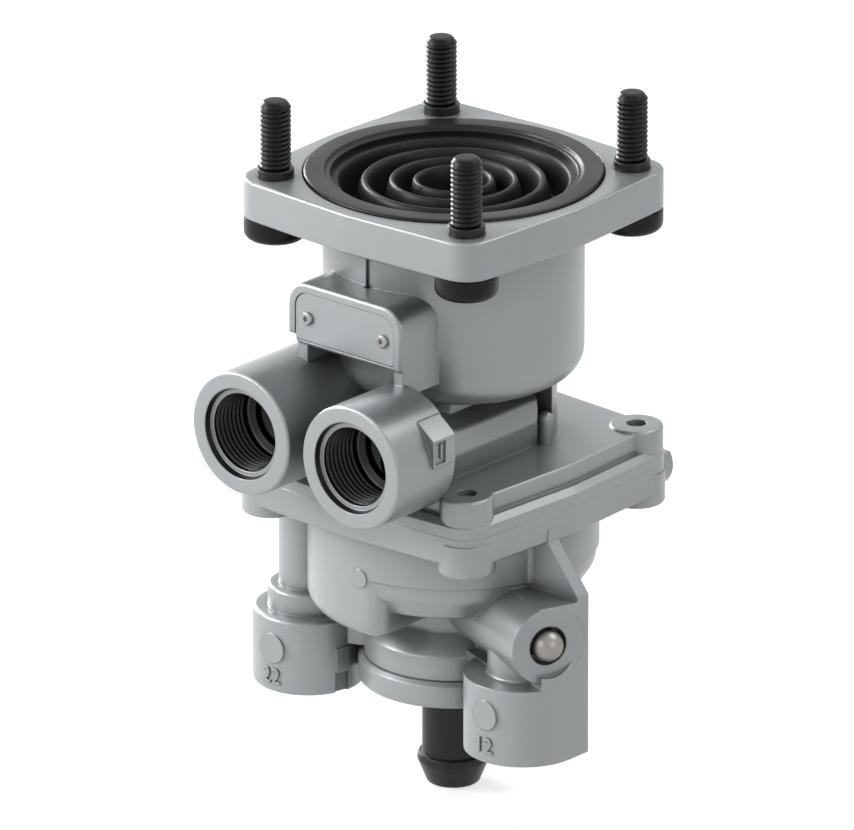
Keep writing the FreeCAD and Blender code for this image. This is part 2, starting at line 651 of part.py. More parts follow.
def port_12():
    """Port 12 with its flat side, the plate that braces it and the boss of the ball plug."""
    low, top = DOWN_LOW_Z, DOWN_TOP_Z
    boss = rod(BOSS_12_R, low, top, DOWN_X, DOWN_Y)
    side = box((DOWN_X, WEB_X), (DOWN_Y, WEB_BACK_Y), (low, top))
    brace = wall([
        (HUB_NECK_R - ROOT, PARTING_Z - ROOT), (WEB_START_X, PARTING_Z - ROOT), (WEB_START_X, MID_LOW_Z),
        (WEB_X, WEB_TOP_Z), (WEB_X, low), (DOWN_X - BRACE_FOOT_IN, low), (HUB_NECK_R - ROOT, top + ROOT),
    ], WEB_FRONT_Y, WEB_BACK_Y)
    shoulder = fused([
        rod(BOSS_12_R, top - 2, BALL_Z + BALL_BOSS_R, DOWN_X, DOWN_Y),
        box((DOWN_X, WEB_X), (DOWN_Y, WEB_BACK_Y), (top - 2, BALL_Z + BALL_BOSS_R)),
    ])
    behind = box((0, 2 * WEB_X), (-CREASE_OFFSET, WEB_X), (top - ROOT, BALL_Z + BALL_BOSS_R + 1))
    behind.rotate(V(0, 0, 0), V(0, 0, 1), math.degrees(math.atan2(DOWN_Y, DOWN_X)))
    barrel = bar(BALL_BOSS_R, along(BALL_BOSS_START, BALL_Z), along(BALL_FACE, BALL_Z))
    mark = down_mark(DOWN_X, BOSS_12_R, MARK_12_Z)
    solid = fused([boss, side, brace, shoulder.common(behind), barrel, mark, down_web(1)])
    beyond = BALL_FACE + BOSS_12_R
    spot_face = bar(SPOT_FACE_R, along(BALL_FACE, BALL_Z), along(beyond, BALL_Z))
    above = box((BALL_FACE, beyond), (-BALL_BOSS_R - 1, BALL_BOSS_R + 1), (BALL_Z, BALL_Z + BALL_BOSS_R + 1))
    above.rotate(V(0, 0, 0), V(0, 0, 1), math.degrees(math.atan2(DOWN_Y, DOWN_X)))
    return solid.cut([spot_face, above])


def lower_flange():
    half = FLANGE_SCREW_PITCH / 2
    plate = rounded(cushion(MID_MID, half, MID_CORNER_R, MID_LOW_Z, PARTING_Z), EDGE_R, MID_LOW_Z)
    boss = rod(SCREW_BOSS_R, BOSS_LOW_Z, PARTING_Z - 2)
    plug_root = V(SIDE_BOSS_X, SIDE_BOSS_ROOT_Y, SIDE_BOSS_Z)
    plug_boss = bar(SIDE_BOSS_R, plug_root, V(SIDE_BOSS_X, SIDE_BOSS_Y, SIDE_BOSS_Z))
    below_parting = box((0, 2 * MID_MID), (0, 2 * MID_MID), (SIDE_BOSS_Z - 2 * SIDE_BOSS_R, PARTING_Z))
    plug_boss = plug_boss.common(below_parting)
    return [plate, plug_boss] + at_corners(rounded(boss, EDGE_R, BOSS_LOW_Z), FLANGE_SCREW_PITCH)


def lower_cavities():
    seat_top = LOWER_SEAT_Z + SEAT_WEB
    cuts = [
        rod(RELAY_R, RELAY_FLOOR_Z, PARTING_Z + 1),
        rod(SPRING_WELL_R, seat_top, RELAY_FLOOR_Z + 0.5),
        rod(SEAT_HOLE_R, LOWER_SEAT_Z - 1, seat_top + 1),
        rod(GUIDE_BORE_R, HUB_LOW_Z - 1, LOWER_SEAT_Z + SEAT_LIP).cut(
            tube(SEAT_HOLE_R, SEAT_HOLE_R + SEAT_LIP_WIDTH, LOWER_SEAT_Z, LOWER_SEAT_Z + SEAT_LIP + 1)
        ),
        rod(CAP_SPIGOT_R + SEATED, HUB_LOW_Z - 1, CAP_SPIGOT_TOP_Z + FACE_GAP),
        snap_groove(GUIDE_BORE_R, LOW_GUIDE_LOW_Z - FACE_GAP - SNAP_THICK, SNAP_THICK),
        rod(CAP_R + LOOSE, DOWN_LOW_Z - 1, HUB_LOW_Z),
        body_seal_ring(SEATED),
    ]
    for side in (-1, 1):
        cuts.append(moved(down_drilling(), side * DOWN_X, DOWN_Y, DOWN_LOW_Z))
    cuts.append(web_slot())
    crossing = RELAY_FLOOR_Z + LINK_RISE
    cuts.append(rod(RISER_R, DOWN_LOW_Z + STEP_DEPTH, crossing, -DOWN_X, DOWN_Y))
    inward = V(-DOWN_X, DOWN_Y, 0).normalize() * (RELAY_R - LINK_REACH)
    cuts.append(bar(LINK_R, V(-DOWN_X, DOWN_Y, crossing), inward + V(0, 0, crossing)))
    cuts.append(rod(CORE_R, DOWN_LOW_Z + STEP_DEPTH, BALL_Z, DOWN_X, DOWN_Y))
    cuts.append(bar(CROSS_R, along(CROSS_START, BALL_Z), along(BALL_FACE + 1, BALL_Z)))
    cuts.append(bar(BALL_HOLE_R, along(BALL_FACE - BALL_HOLE_DEPTH, BALL_Z), along(BALL_FACE + 6, BALL_Z)))
    screw = rod(M5_R + LOOSE, BOSS_LOW_Z - 1, PARTING_Z + 1).fuse(
        rod(M5_HEAD_R + LOOSE, BOSS_LOW_Z - 1, M5_SEAT_Z)
    )
    cuts += at_corners(screw, FLANGE_SCREW_PITCH)
    return cuts


def down_drilling():
    drilling = port_drilling()
    drilling.rotate(V(0, 0, 0), V(1, 0, 0), 180)
    return drilling


def body_seal_ring(grow=0.0):
    """The seal between the two bodies, or the groove that holds it."""
    half = BODY_SEAL_WIDTH / 2 + grow
    low = PARTING_Z - FACE_GAP - BODY_SEAL_DEEP
    return tube(BODY_SEAL_R - half, BODY_SEAL_R + half, low - grow, PARTING_Z - FACE_GAP + grow * 6)


def mould_mark():
    """A small round mark on the bowl's mould line."""
    x, z = MOULD_MARK_X, BOWL_LINE_Z
    return bar(MOULD_MARK_R, V(x, -BOWL_R + ROOT, z), V(x, -BOWL_R - MARK_PROUD, z))


def brace_bead():
    """The round bead where the brace meets the bowl."""
    heading = math.radians(BEAD_HEADING)
    x, y = BEAD_REACH * math.cos(heading), BEAD_REACH * math.sin(heading)
    return rod(BEAD_R, BOWL_LINE_Z, MID_LOW_Z + 1, x, y)


def lower_body():
    solids = [bowl_and_hub(), lobe(), port_12(), mould_mark(), brace_bead()] + lower_flange() + port_22()
    return fused(solids).cut(lower_cavities())


# Boot and ring

def fold_radii():
    """Radii of the valleys and crests by turns, which share the room between the foot and the cup."""
    share = (BOOT_FOOT_R - BOOT_CUP_R) / sum(BOOT_FOLDS)
    return [BOOT_FOOT_R - share * sum(BOOT_FOLDS[:i + 1]) for i in range(len(BOOT_FOLDS) - 1)]


def rubber_boot():
    """The folded boot. The outside of each fold is two corners wide, and its inside is one corner."""
    edge_top = RING_PROUD - RING_THICK - FACE_GAP / 2
    edge_low = edge_top - BOOT_EDGE_THICK
    half = BOOT_WALL / 2
    over = [(BOOT_EDGE_R, edge_top), (BOOT_FOOT_R - half, edge_top, 0.6)]
    under = []
    for i, r in enumerate(fold_radii()):
        if i % 2:
            over += [(r + half, BOOT_CREST_Z, half), (r - half, BOOT_CREST_Z, half)]
            under.append((r, BOOT_CREST_Z - BOOT_FOLD_DEEP, 0.4))
        else:
            over.append((r, BOOT_VALLEY_Z, 0.4))
            low = BOOT_VALLEY_Z - BOOT_FOLD_DEEP
            under += [(r + half, low, half), (r - half, low, half)]
    cup_low = BOOT_CUP_Z - BOOT_WALL
    cup = [(BOOT_CUP_R, BOOT_CUP_Z, 1), (0, BOOT_CUP_Z), (0, cup_low), (BOOT_CUP_R + BOOT_WALL, cup_low, 1)]
    foot = [(BOOT_FOOT_R, edge_low, 0.4), (BOOT_EDGE_R, edge_low)]
    return turned(over + cup + under[::-1] + foot)


def boot_retaining_ring():
    low = RING_PROUD - RING_THICK
    return turned([
        (RING_IN, low), (RING_OUT, low), (RING_OUT, RING_PROUD, 0.6), (RING_IN + 1.6, RING_PROUD, 0.4),
        (RING_IN + 1.2, RING_PROUD - 0.8, 0.4), (RING_IN, RING_PROUD - 0.8, 0.4),
    ])


# Plunger, pistons and valves

def plunger_top_z():
    return STOP_RING_Z - FACE_GAP


def plunger():
    """The cup-shaped pusher under the boot, guided in the bore and stopped by a snap ring."""
    top = plunger_top_z()
    r = BORE_R - RUN
    knob_top = BOOT_CUP_Z - BOOT_WALL - FACE_GAP
    return turned([
        (0, knob_top), (KNOB_R, knob_top, 0.5), (KNOB_R + 1.5, top, 0.4), (r, top, 0.6),
        (r, top - PLUNGER_SKIRT, 0.4), (r - 3.4, top - PLUNGER_SKIRT, 0.4), (r - 4, top - PLUNGER_WEB, 1),
        (KNOB_R + 3, top - PLUNGER_WEB, 1), (KNOB_R + 2, top - PLUNGER_SKIRT + 1, 0.5),
        (0, top - PLUNGER_SKIRT + 1),
    ])


def piston_profile(r, top, skirt, web, stem_low, well_r, crown):
    """Half the section of a piston: skirt, web and a hollow stem whose tip is the exhaust seat."""
    low = top - skirt
    floor = low + web + STEM_SEAT
    return [
        (STEM_BORE_R, crown), (STEM_R + 1.2, crown, 0.5), (STEM_R + 1.6, floor, 1), (r - 4.4, floor, 1),
        (r - 3.6, top, 0.4), (r, top, 0.5), (r, low, 0.5), (well_r + 1.5, low, 0.5),
        (well_r + 1, low + STEM_SEAT, 0.4), (STEM_R, low + STEM_SEAT, 0.3), (STEM_R, stem_low, 0.4),
        (STEM_BORE_R, stem_low),
    ]


def primary_stem_low():
    return UPPER_SEAT_Z + EXHAUST_GAP


def relay_stem_low():
    return LOWER_SEAT_Z + EXHAUST_GAP


def primary_seal_z():
    return PISTON_TOP_Z - PISTON_SKIRT / 2


def relay_seal_z():
    return RELAY_TOP_Z - RELAY_SKIRT / 2


def primary_piston():
    crown = PISTON_TOP_Z - 1.2
    profile = piston_profile(BORE_R - RUN, PISTON_TOP_Z, PISTON_SKIRT, PISTON_WEB,
                             primary_stem_low(), SPRING_WELL_R, crown)
    closed = rod(STEM_BORE_R + 0.5, crown - 2, crown)
    return turned(profile).cut(seal_groove(BORE_R - RUN, primary_seal_z())).fuse(closed).removeSplitter()


def relay_piston():
    """The relay piston with the tube that carries the upper circuit's exhaust through it."""
    r = RELAY_R - RUN
    low = RELAY_TOP_Z - RELAY_SKIRT
    floor = low + RELAY_WEB
    body = turned([
        (RELAY_TUBE_BORE_R, RELAY_TUBE_TOP_Z), (RELAY_TUBE_R, RELAY_TUBE_TOP_Z, 0.5),
        (RELAY_TUBE_R, floor, 1.2),
        (r - 4.4, floor, 1), (r - 3.6, RELAY_TOP_Z, 0.4), (r, RELAY_TOP_Z, 0.5), (r, low, 0.5),
        (SPRING_WELL_R + 1.5, low, 0.5), (SPRING_WELL_R + 1, low + RELAY_STEM_SEAT, 0.4),
        (STEM_R, low + RELAY_STEM_SEAT, 0.3),
        (STEM_R, relay_stem_low(), 0.4), (STEM_BORE_R, relay_stem_low()), (STEM_BORE_R, low + 1),
        (RELAY_TUBE_BORE_R, low + 3),
    ])
    return body.cut(seal_groove(r, relay_seal_z()))


def valve(seat_z, stem_low):
    """A double valve: a head with a step for its rubber facing, on a hollow stem."""
    top = seat_z - FACE_GAP
    step = top - FACING_THICK
    low = top - VALVE_HEAD_THICK
    return turned([
        (VALVE_STEM_BORE_R, step), (VALVE_HEAD_R, step), (VALVE_HEAD_R, low, 0.6),
        (VALVE_STEM_R, low, 0.8), (VALVE_STEM_R, stem_low, 0.4), (VALVE_STEM_BORE_R, stem_low),
    ])


def valve_facing(seat_z):
    top = seat_z - FACE_GAP
    return rounded(tube(VALVE_STEM_BORE_R, VALVE_HEAD_R, top - FACING_THICK, top), 0.3, top)


def upper_valve_guide():
    r = GUIDE_BORE_R - SEATED
    return turned([
        (VALVE_STEM_R + RUN, GUIDE_TOP_Z), (r, GUIDE_TOP_Z, 0.4), (r, GUIDE_LOW_Z, 0.4),
        (RELAY_TUBE_R + RUN, GUIDE_LOW_Z), (RELAY_TUBE_R + RUN, GUIDE_CUP_Z),
        (VALVE_STEM_R + RUN, GUIDE_CUP_Z),
    ])


def lower_valve_guide():
    r = GUIDE_BORE_R - SEATED
    return turned([
        (VALVE_STEM_R + RUN, LOW_GUIDE_TOP_Z), (r, LOW_GUIDE_TOP_Z, 0.4), (r, LOW_GUIDE_LOW_Z, 0.4),
        (VALVE_STEM_R + RUN + 2, LOW_GUIDE_LOW_Z), (VALVE_STEM_R + RUN, LOW_GUIDE_LOW_Z + 2),
    ])


# Bottom cap and exhaust

def bottom_cap():
    bore = NOZZLE_R + 1.6 + SEATED
    z = CAP_SPIGOT_TOP_Z
    cap = turned([
        (bore - 2.5, z), (CAP_SPIGOT_R, z, 0.5), (CAP_SPIGOT_R, HUB_LOW_Z - FACE_GAP),
        (CAP_R - 1, HUB_LOW_Z - FACE_GAP), (CAP_R, HUB_LOW_Z - 1.1), (CAP_R, CAP_LOW_Z, 1),
        (bore, CAP_LOW_Z), (bore, CAP_LOW_Z + 5), (bore - 2.5, CAP_LOW_Z + 5),
    ])
    return cap.cut(tube(CAP_SPIGOT_R - 1.6, CAP_SPIGOT_R + 1, z - 2.6, z - 1))


def bottom_cap_seal():
    z = CAP_SPIGOT_TOP_Z
    return tube(CAP_SPIGOT_R - 1.6 + SEATED, CAP_SPIGOT_R, z - 2.6 + SEATED, z - 1 - SEATED)


def exhaust_nozzle():
    """The black hose nozzle: a plug in the cap, a plain tube and one barb."""
    plug_r = NOZZLE_R + 1.6
    top = CAP_LOW_Z + 5 - FACE_GAP
    return turned([
        (NOZZLE_BORE_R, top), (plug_r, top, 0.4), (plug_r, CAP_LOW_Z + 0.3), (NOZZLE_R, CAP_LOW_Z - 0.3),
        (NOZZLE_R, BARB_Z + 1.4), (BARB_R - 0.3, BARB_Z + 1.1, 0.3), (BARB_R, BARB_Z - 0.5, 0.6),
        (6.6, NOZZLE_LOW_Z, 1), (NOZZLE_BORE_R, NOZZLE_LOW_Z, 0.4),
    ])


# Screws, plate, pins and ball

def hex_socket(flats, depth, z):
    r = flats / math.sqrt(3)
    corners = [(r * math.cos(math.radians(a)), r * math.sin(math.radians(a))) for a in range(0, 360, 60)]
    return slab(corners, z, z + depth)


def mounting_screw():
    """A captive M8 screw that points up: round head, waisted shank and a bevelled tip."""
    seat = -TOP_THICK
    head_low = seat - M8_HEAD_THICK
    screw = turned([
        (0, M8_TIP_Z), (M8_R - M8_TIP_IN, M8_TIP_Z, 0.6), (M8_R, M8_TIP_Z - M8_TIP, 0.6), (M8_R, COLLAR_TOP),
        (M8_SHANK_R, COLLAR_TOP - FACE_GAP), (M8_SHANK_R, seat), (M8_HEAD_R, seat, 0.4),
        (M8_HEAD_R, head_low, M8_HEAD_ROUND), (0, head_low),
    ])
    return screw.cut(hex_socket(HEX_FLATS, HEX_DEEP, head_low))


def screw_collar():
    collar = tube(M8_SHANK_R + RUN, COLLAR_OUT_R, -COLLAR_DEEP, COLLAR_TOP - FACE_GAP)
    return rounded(collar, 0.4, COLLAR_TOP - FACE_GAP)


def body_screw():
    tip = MID_TOP_Z + PILLAR_RISE - M5_TIP_SUNK
    low = M5_SEAT_Z - M5_HEAD_THICK
    screw = turned([
        (0, tip), (M5_R, tip, 0.8), (M5_R, M5_SEAT_Z), (M5_HEAD_R, M5_SEAT_Z, 0.3),
        (M5_HEAD_R, low, 0.5), (0, low),
    ])
    return screw.cut(hex_socket(M5_FLATS, M5_DEEP, low))


def type_plate():
    front = PAD_FACE_Y + PLATE_SINK
    plate = wall(plate_outline(0.15), front, front + PLATE_THICK)
    for side in (-1, 1):
        x = side * PIN_X
        plate = plate.cut(bar(PIN_R + LOOSE, V(x, front - 1, PIN_Z), V(x, front + 2, PIN_Z)))
    return plate


def plate_pin():
    """A drive pin with a low domed head, along +Z from the plate's face."""
    top = PIN_HEAD_THICK
    pin = turned([
        (0, top), (PIN_HEAD_R, top, 0.6), (PIN_HEAD_R, 0), (PIN_R, 0),
        (PIN_R, -PIN_LENGTH, 0.4), (0, -PIN_LENGTH),
    ])
    pin = pin.cut(rod(PIN_HOLE_R, top / 4, top + 1))
    pin.rotate(V(0, 0, 0), V(1, 0, 0), 90)
    return pin


def ball_plug():
    ball = Part.makeSphere(BALL_R)
    centre = along(BALL_FACE - BALL_HOLE_DEPTH + BALL_R + 0.02, BALL_Z)
    return moved(ball, centre.x, centre.y, centre.z)


def springs():
    """Each spring by its node: mean radius, wire radius, lower end, upper end and turns."""
    plunger_web = plunger_top_z() - PLUNGER_WEB
    piston_floor = PISTON_TOP_Z - PISTON_SKIRT + PISTON_WEB + STEM_SEAT
    piston_under = PISTON_TOP_Z - PISTON_SKIRT + STEM_SEAT
    relay_under = RELAY_TOP_Z - RELAY_SKIRT + RELAY_STEM_SEAT
    return {
        "graduating_spring": (BORE_R - GRADUATING_IN, GRADUATING_WIRE_R, piston_floor, plunger_web, 3.5),
        "piston_return_spring": (RETURN_COIL_R, PISTON_WIRE_R, UPPER_SEAT_Z + SEAT_WEB, piston_under, 3),
        "upper_valve_spring": (VALVE_COIL_R, UPPER_VALVE_WIRE_R, GUIDE_TOP_Z,
                               UPPER_SEAT_Z - FACE_GAP - VALVE_HEAD_THICK, 1.5),
        "relay_return_spring": (RETURN_COIL_R, RELAY_WIRE_R, LOWER_SEAT_Z + SEAT_WEB, relay_under, 3),
        "lower_valve_spring": (VALVE_COIL_R, LOWER_VALVE_WIRE_R, LOW_GUIDE_TOP_Z,
                               LOWER_SEAT_Z - FACE_GAP - VALVE_HEAD_THICK, 3.5),
    }


def assembly():
    """Every node with its solids."""
    nodes = {
        "upper_body": [upper_body()],
        "lower_body": [lower_body()],
        "rubber_boot": [rubber_boot()],
        "boot_retaining_ring": [boot_retaining_ring()],
        "mounting_screws": at_corners(mounting_screw(), STUD_PITCH),
        "screw_collars": at_corners(screw_collar(), STUD_PITCH),
        "body_screws": at_corners(body_screw(), FLANGE_SCREW_PITCH),
        "type_plate": [type_plate()],
        "plate_pins": [moved(plate_pin(), s * PIN_X, PAD_FACE_Y + PLATE_SINK - 0.05, PIN_Z) for s in (-1, 1)],
        "ball_plug": [ball_plug()],
        "plunger": [plunger()],
        "plunger_stop_ring": [snap_ring(BORE_R, STOP_RING_Z, SNAP_THICK)],
        "primary_piston": [primary_piston()],
        "primary_piston_seal": [seal(BORE_R - RUN / 2, primary_seal_z())],
        "upper_valve": [valve(UPPER_SEAT_Z, GUIDE_CUP_Z - 1.2)],
        "upper_valve_facing": [valve_facing(UPPER_SEAT_Z)],
        "upper_valve_guide": [upper_valve_guide()],
        "upper_guide_ring": [snap_ring(GUIDE_BORE_R, GUIDE_LOW_Z - FACE_GAP - SNAP_THICK, SNAP_THICK)],
        "body_seal": [body_seal_ring()],
        "relay_piston": [relay_piston()],
        "relay_piston_seal": [seal(RELAY_R - RUN / 2, relay_seal_z())],
        "lower_valve": [valve(LOWER_SEAT_Z, LOW_GUIDE_LOW_Z + 0.4)],
        "lower_valve_facing": [valve_facing(LOWER_SEAT_Z)],
        "lower_valve_guide": [lower_valve_guide()],
        "lower_guide_ring": [snap_ring(GUIDE_BORE_R, LOW_GUIDE_LOW_Z - FACE_GAP - SNAP_THICK, SNAP_THICK)],
        "bottom_cap": [bottom_cap()],
        "bottom_cap_seal": [bottom_cap_seal()],
        "exhaust_nozzle": [exhaust_nozzle()],
    }
    for name, (mean_r, wire_r, low, high, turns) in springs().items():
        nodes[name] = [coil(mean_r, wire_r, low + FACE_GAP, high - FACE_GAP, turns)]
    return nodes


os.makedirs("parts", exist_ok=True)
for name, solids in assembly().items():
    shape = solids[0] if len(solids) == 1 else Part.makeCompound(solids)
    shape.exportStep("parts/" + name + ".step")
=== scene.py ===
import json
import math

import bpy
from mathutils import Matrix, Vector


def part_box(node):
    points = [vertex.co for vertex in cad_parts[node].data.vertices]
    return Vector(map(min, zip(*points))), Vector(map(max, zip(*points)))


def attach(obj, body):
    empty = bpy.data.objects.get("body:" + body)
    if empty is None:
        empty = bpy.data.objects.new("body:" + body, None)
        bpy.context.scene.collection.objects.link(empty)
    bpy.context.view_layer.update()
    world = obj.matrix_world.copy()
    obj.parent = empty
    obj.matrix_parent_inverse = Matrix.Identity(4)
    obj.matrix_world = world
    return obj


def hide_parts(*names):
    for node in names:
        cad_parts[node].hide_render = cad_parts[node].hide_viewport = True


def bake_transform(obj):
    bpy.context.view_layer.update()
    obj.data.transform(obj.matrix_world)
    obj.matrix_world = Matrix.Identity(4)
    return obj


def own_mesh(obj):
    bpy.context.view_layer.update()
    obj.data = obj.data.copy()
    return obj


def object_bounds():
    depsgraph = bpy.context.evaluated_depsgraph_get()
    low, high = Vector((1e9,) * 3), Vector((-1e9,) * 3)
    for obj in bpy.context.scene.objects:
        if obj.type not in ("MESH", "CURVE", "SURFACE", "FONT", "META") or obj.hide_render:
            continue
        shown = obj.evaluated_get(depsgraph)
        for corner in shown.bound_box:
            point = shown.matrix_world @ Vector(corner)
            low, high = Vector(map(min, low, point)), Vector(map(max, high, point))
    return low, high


# Truck foot brake valve, dressed on its CAD frame. Blender's objects are in metres, in the CAD's own frame.
# Sizes in this file are in millimetres, unless they say otherwise, and MM turns them into metres.

MM = 0.001
TAU = 2 * math.pi

# Camera: a long lens, nearly without perspective, as the photograph has
AZIMUTH, ELEVATION = 41.0, 20.8
AIM = (9.14, -20.66, -56.84)
LENS, SENSOR = 800, 36
FRAME_WIDE = 212.97        # across the picture, at the object

# Lamps: azimuth and elevation in degrees, size in metres and power in watts of each
LAMPS = {
    "key": (-48, 26, 0.6, 18.5),
    "left": (-104, 16, 0.7, 25),
    "front": (-12, 22, 0.8, 3.8),
    "right": (85, 20, 0.8, 2.8),
    "back": (150, 55, 0.8, 7),
}
LAMP_DISTANCE = 1.6        # metres

# Sky and floor: each has a strength that only the camera and gloss see
SKY_LIGHT, SKY_SEEN = 0.03, 1.0
FLOOR_HALF = 4.0           # metres
FLOOR_BELOW = 0.2
FLOOR_COLOUR, FLOOR_SEEN = (0.5, 0.5, 0.5, 1), 0.70

# Screws that stand up out of the top flange
SCREW_PITCH = 63.0
M8_R, M8_SHANK_R = 4.0, 3.3
M8_HEAD_R, M8_HEAD_THICK, M8_HEAD_ROUND, M8_HEAD_EDGE = 8.0, 5.9, 2.3, 0.4
M8_THREAD, M8_THREAD_DEEP = 1.25, 0.42
M8_SHANK_TOP, M8_ROOT_Z, M8_THREAD_Z = 2.3, 2.45, 2.5
M8_TIP_LONG = 1.5
M8_TIP = (                 # inwards from the crest, and below the end
    (0.15, 1.4), (0.35, 1.1), (0.7, 0.6), (1.1, 0.2), (1.7, 0.02), (2.4, 0),
)
HEX_FLATS, HEX_DEEP, HEX_BEVEL = 6.0, 3.6, 0.3
SCREW_SIDES = 48
THREAD_ROWS = 10           # rows of points in one turn of the M8 thread

# Ports: two look along -Y, at +X and -X, and two look down
PORT_X, PORT_Z, PORT_FACE_Y = 18.2, -57.5, -60.0
DOWN_X, DOWN_Y, DOWN_LOW_Z = 35.7, -14.5, -140.4
PORT_R, MOUTH_R = 10.2, 12.05
MOUTH_DEPTH, THREAD_DEPTH, BORE_DEPTH = 1.6, 14.0, 19.1
# painted shade: the ports' bores take the dark colour below, except at these bright edges
RIM_BRIGHT, STEP_HALF, LINE_WIDE = 0.15, 0.1, 0.25      # the bright edges between the dark walls
BORE_SHADE_COLOUR = (0.012, 0.013, 0.014, 1)

# Port threads, M22 x 1.5
PORT_THREAD, PORT_THREAD_DEEP = 1.5, 0.5
PORT_THREAD_START, PORT_THREAD_LONG = 1.7, 11.6
RIDGE_FOOT, RIDGE_CREST = 0.6, 0.12     # half widths of the thread's ridge
RIDGE_SUNK = 0.05                       # how far its foot lies in the wall
RIDGE_STEPS, RIDGE_FADE = 40, 20        # steps to a turn, and steps over which its ends fade

# Cast forms beside the solids
NECK_OUT, NECK_IN = 9.0, 5.6
NECK_FOOT_Z, NECK_TOP_Z = -120.35, -112.5
NECK_ROOT, NECK_SUNK = 0.8, 0.6
PILLAR_X, PILLAR_Y, PILLAR_R = 23.1, 8.4, 2.0
PILLAR_LOW_Z, PILLAR_TOP_Z = -69.5, -60.6
GROOVE_X, GROOVE_Y, GROOVE_Z = (-0.45, 1.45), (-32.1, -31.1), (-22.0, -10.4)
LATHED_SIDES = 48
AXIS_R = 0.02              # stands for the axis where a lathed form closes

# Figures on the castings
FIGURE_HIGH, FIGURE_HIGH_11 = 4.1, 4.2
FIGURE_TYPE = 1.4          # size of type for a figure 1 high
FIGURE_THICK, FIGURE_FAT = 0.3, 0.02    # half thickness, and weight added to the type
FIGURE_OUT = 0.2           # how far a figure's middle stands out of the casting
FIGURES_Z = -136.0
DRUM_22_R, DRUM_12_R = 14.2, 15.0
FIGURES_11_AT = (34.3, -45.6, -53.4)
FIGURES_11_SPACING = 0.68

# Boot: radii of its valleys and crests by turns, from the ring to the cup
FOLDS = (26.2, 22.3, 18.6, 15.4, 12.3, 9.5)
CREST_Z, VALLEY_Z = -1.8, -10.6
FOLD_FULL = 0.35           # how much fuller than a cosine wave the folds are
FOLD_STEPS = 14
BOOT_WALL, BOOT_RIM_THICK = 1.4, 2.3
SHOULDER_R, RIM_INNER_R = 29.5, 30.2
CUP_R, CUP_FLAT_R, CUP_AXIS_R = 6.4, 3.0, 0.05
CUP_UNDER = ((4.0, 0), (7.2, 0.4))      # radius, and height over the cup's lowest point
SKIN_INNER_R, SKIN_OUTER_R = 8.0, 28.6  # between these the underside follows the folds
SECTORS, SECTOR_STEPS = 12, 6

# Travel of the joints
PLUNGER_TRAVEL, PISTON_TRAVEL, VALVE_TRAVEL = 11.0, 3.0, 1.0

# Springs: name, CAD node, body, joint, radius of the wire, open turns and how far the spring shortens
SPRINGS = (
    ("graduating_coil", "graduating_spring", "primary_piston", "plunger_slide", 1.6, 2.5,
     PLUNGER_TRAVEL - PISTON_TRAVEL),
    ("piston_return_coil", "piston_return_spring", "housing", "primary_piston_slide", 0.8, 3, PISTON_TRAVEL),
    ("upper_valve_coil", "upper_valve_spring", "housing", "upper_valve_slide", 0.5, 1, VALVE_TRAVEL),
    ("relay_return_coil", "relay_return_spring", "housing", "relay_piston_slide", 0.9, 3, PISTON_TRAVEL),
    ("lower_valve_coil", "lower_valve_spring", "housing", "lower_valve_slide", 0.7, 3, VALVE_TRAVEL),
)
WIRE_SHARE = 0.98          # the drawn wire's share of the CAD one, which keeps it inside
WIRE_SIDES, COIL_STEPS = 10, 28

# CAD meshes
WELD = 0.001
CORNER_ANGLE = 28          # degrees; a sharper edge stays sharp

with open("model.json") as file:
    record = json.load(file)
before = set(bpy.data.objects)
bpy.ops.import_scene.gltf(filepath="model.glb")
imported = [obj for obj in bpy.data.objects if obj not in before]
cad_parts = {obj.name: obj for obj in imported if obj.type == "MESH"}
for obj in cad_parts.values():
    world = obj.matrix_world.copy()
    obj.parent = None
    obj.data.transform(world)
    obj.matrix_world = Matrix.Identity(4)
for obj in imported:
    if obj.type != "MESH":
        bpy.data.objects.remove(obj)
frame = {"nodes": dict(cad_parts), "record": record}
bounds_at_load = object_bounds()
nodes = frame["nodes"]


# Nodes of materials

def put(tree, value, socket):
    """Sets a socket to a plain value, or links it to the output that is given."""
    if isinstance(value, bpy.types.NodeSocket):
        tree.links.new(value, socket)
    else:
        socket.default_value = value


def math_node(tree, operation, *values):
    node = tree.nodes.new("ShaderNodeMath")
    node.operation = operation
    for socket, value in zip(node.inputs, values):
        put(tree, value, socket)
    return node.outputs[0]


def mix_node(tree, blend, factor, a, b):
    """A blend of two colours."""
    node = tree.nodes.new("ShaderNodeMix")
    node.data_type = "RGBA"
    node.blend_type = blend
    for label, value in (("Factor", factor), ("A", a), ("B", b)):
        put(tree, value, node.inputs[label])
    return node.outputs["Result"]


def noise_node(tree, scale, detail, place):
    node = tree.nodes.new("ShaderNodeTexNoise")
    node.inputs["Scale"].default_value = scale
    node.inputs["Detail"].default_value = detail
    tree.links.new(place, node.inputs["Vector"])
    return node.outputs["Fac"]


def square(tree, value):
    return math_node(tree, "MULTIPLY", value, value)


def within(tree, value, low, high):
    """1 where a value lies between two others in millimetres, else 0."""
    above = math_node(tree, "GREATER_THAN", value, low * MM)
    return math_node(tree, "MULTIPLY", above, math_node(tree, "LESS_THAN", value, high * MM))


def object_place(tree):
    return tree.nodes.new("ShaderNodeTexCoord").outputs["Object"]


def object_xyz(tree):
    """The three coordinates of a place on the object, in metres."""
    split = tree.nodes.new("ShaderNodeSeparateXYZ")
    tree.links.new(object_place(tree), split.inputs[0])
    return [split.outputs[k] for k in "XYZ"]


# Finishes that several materials share

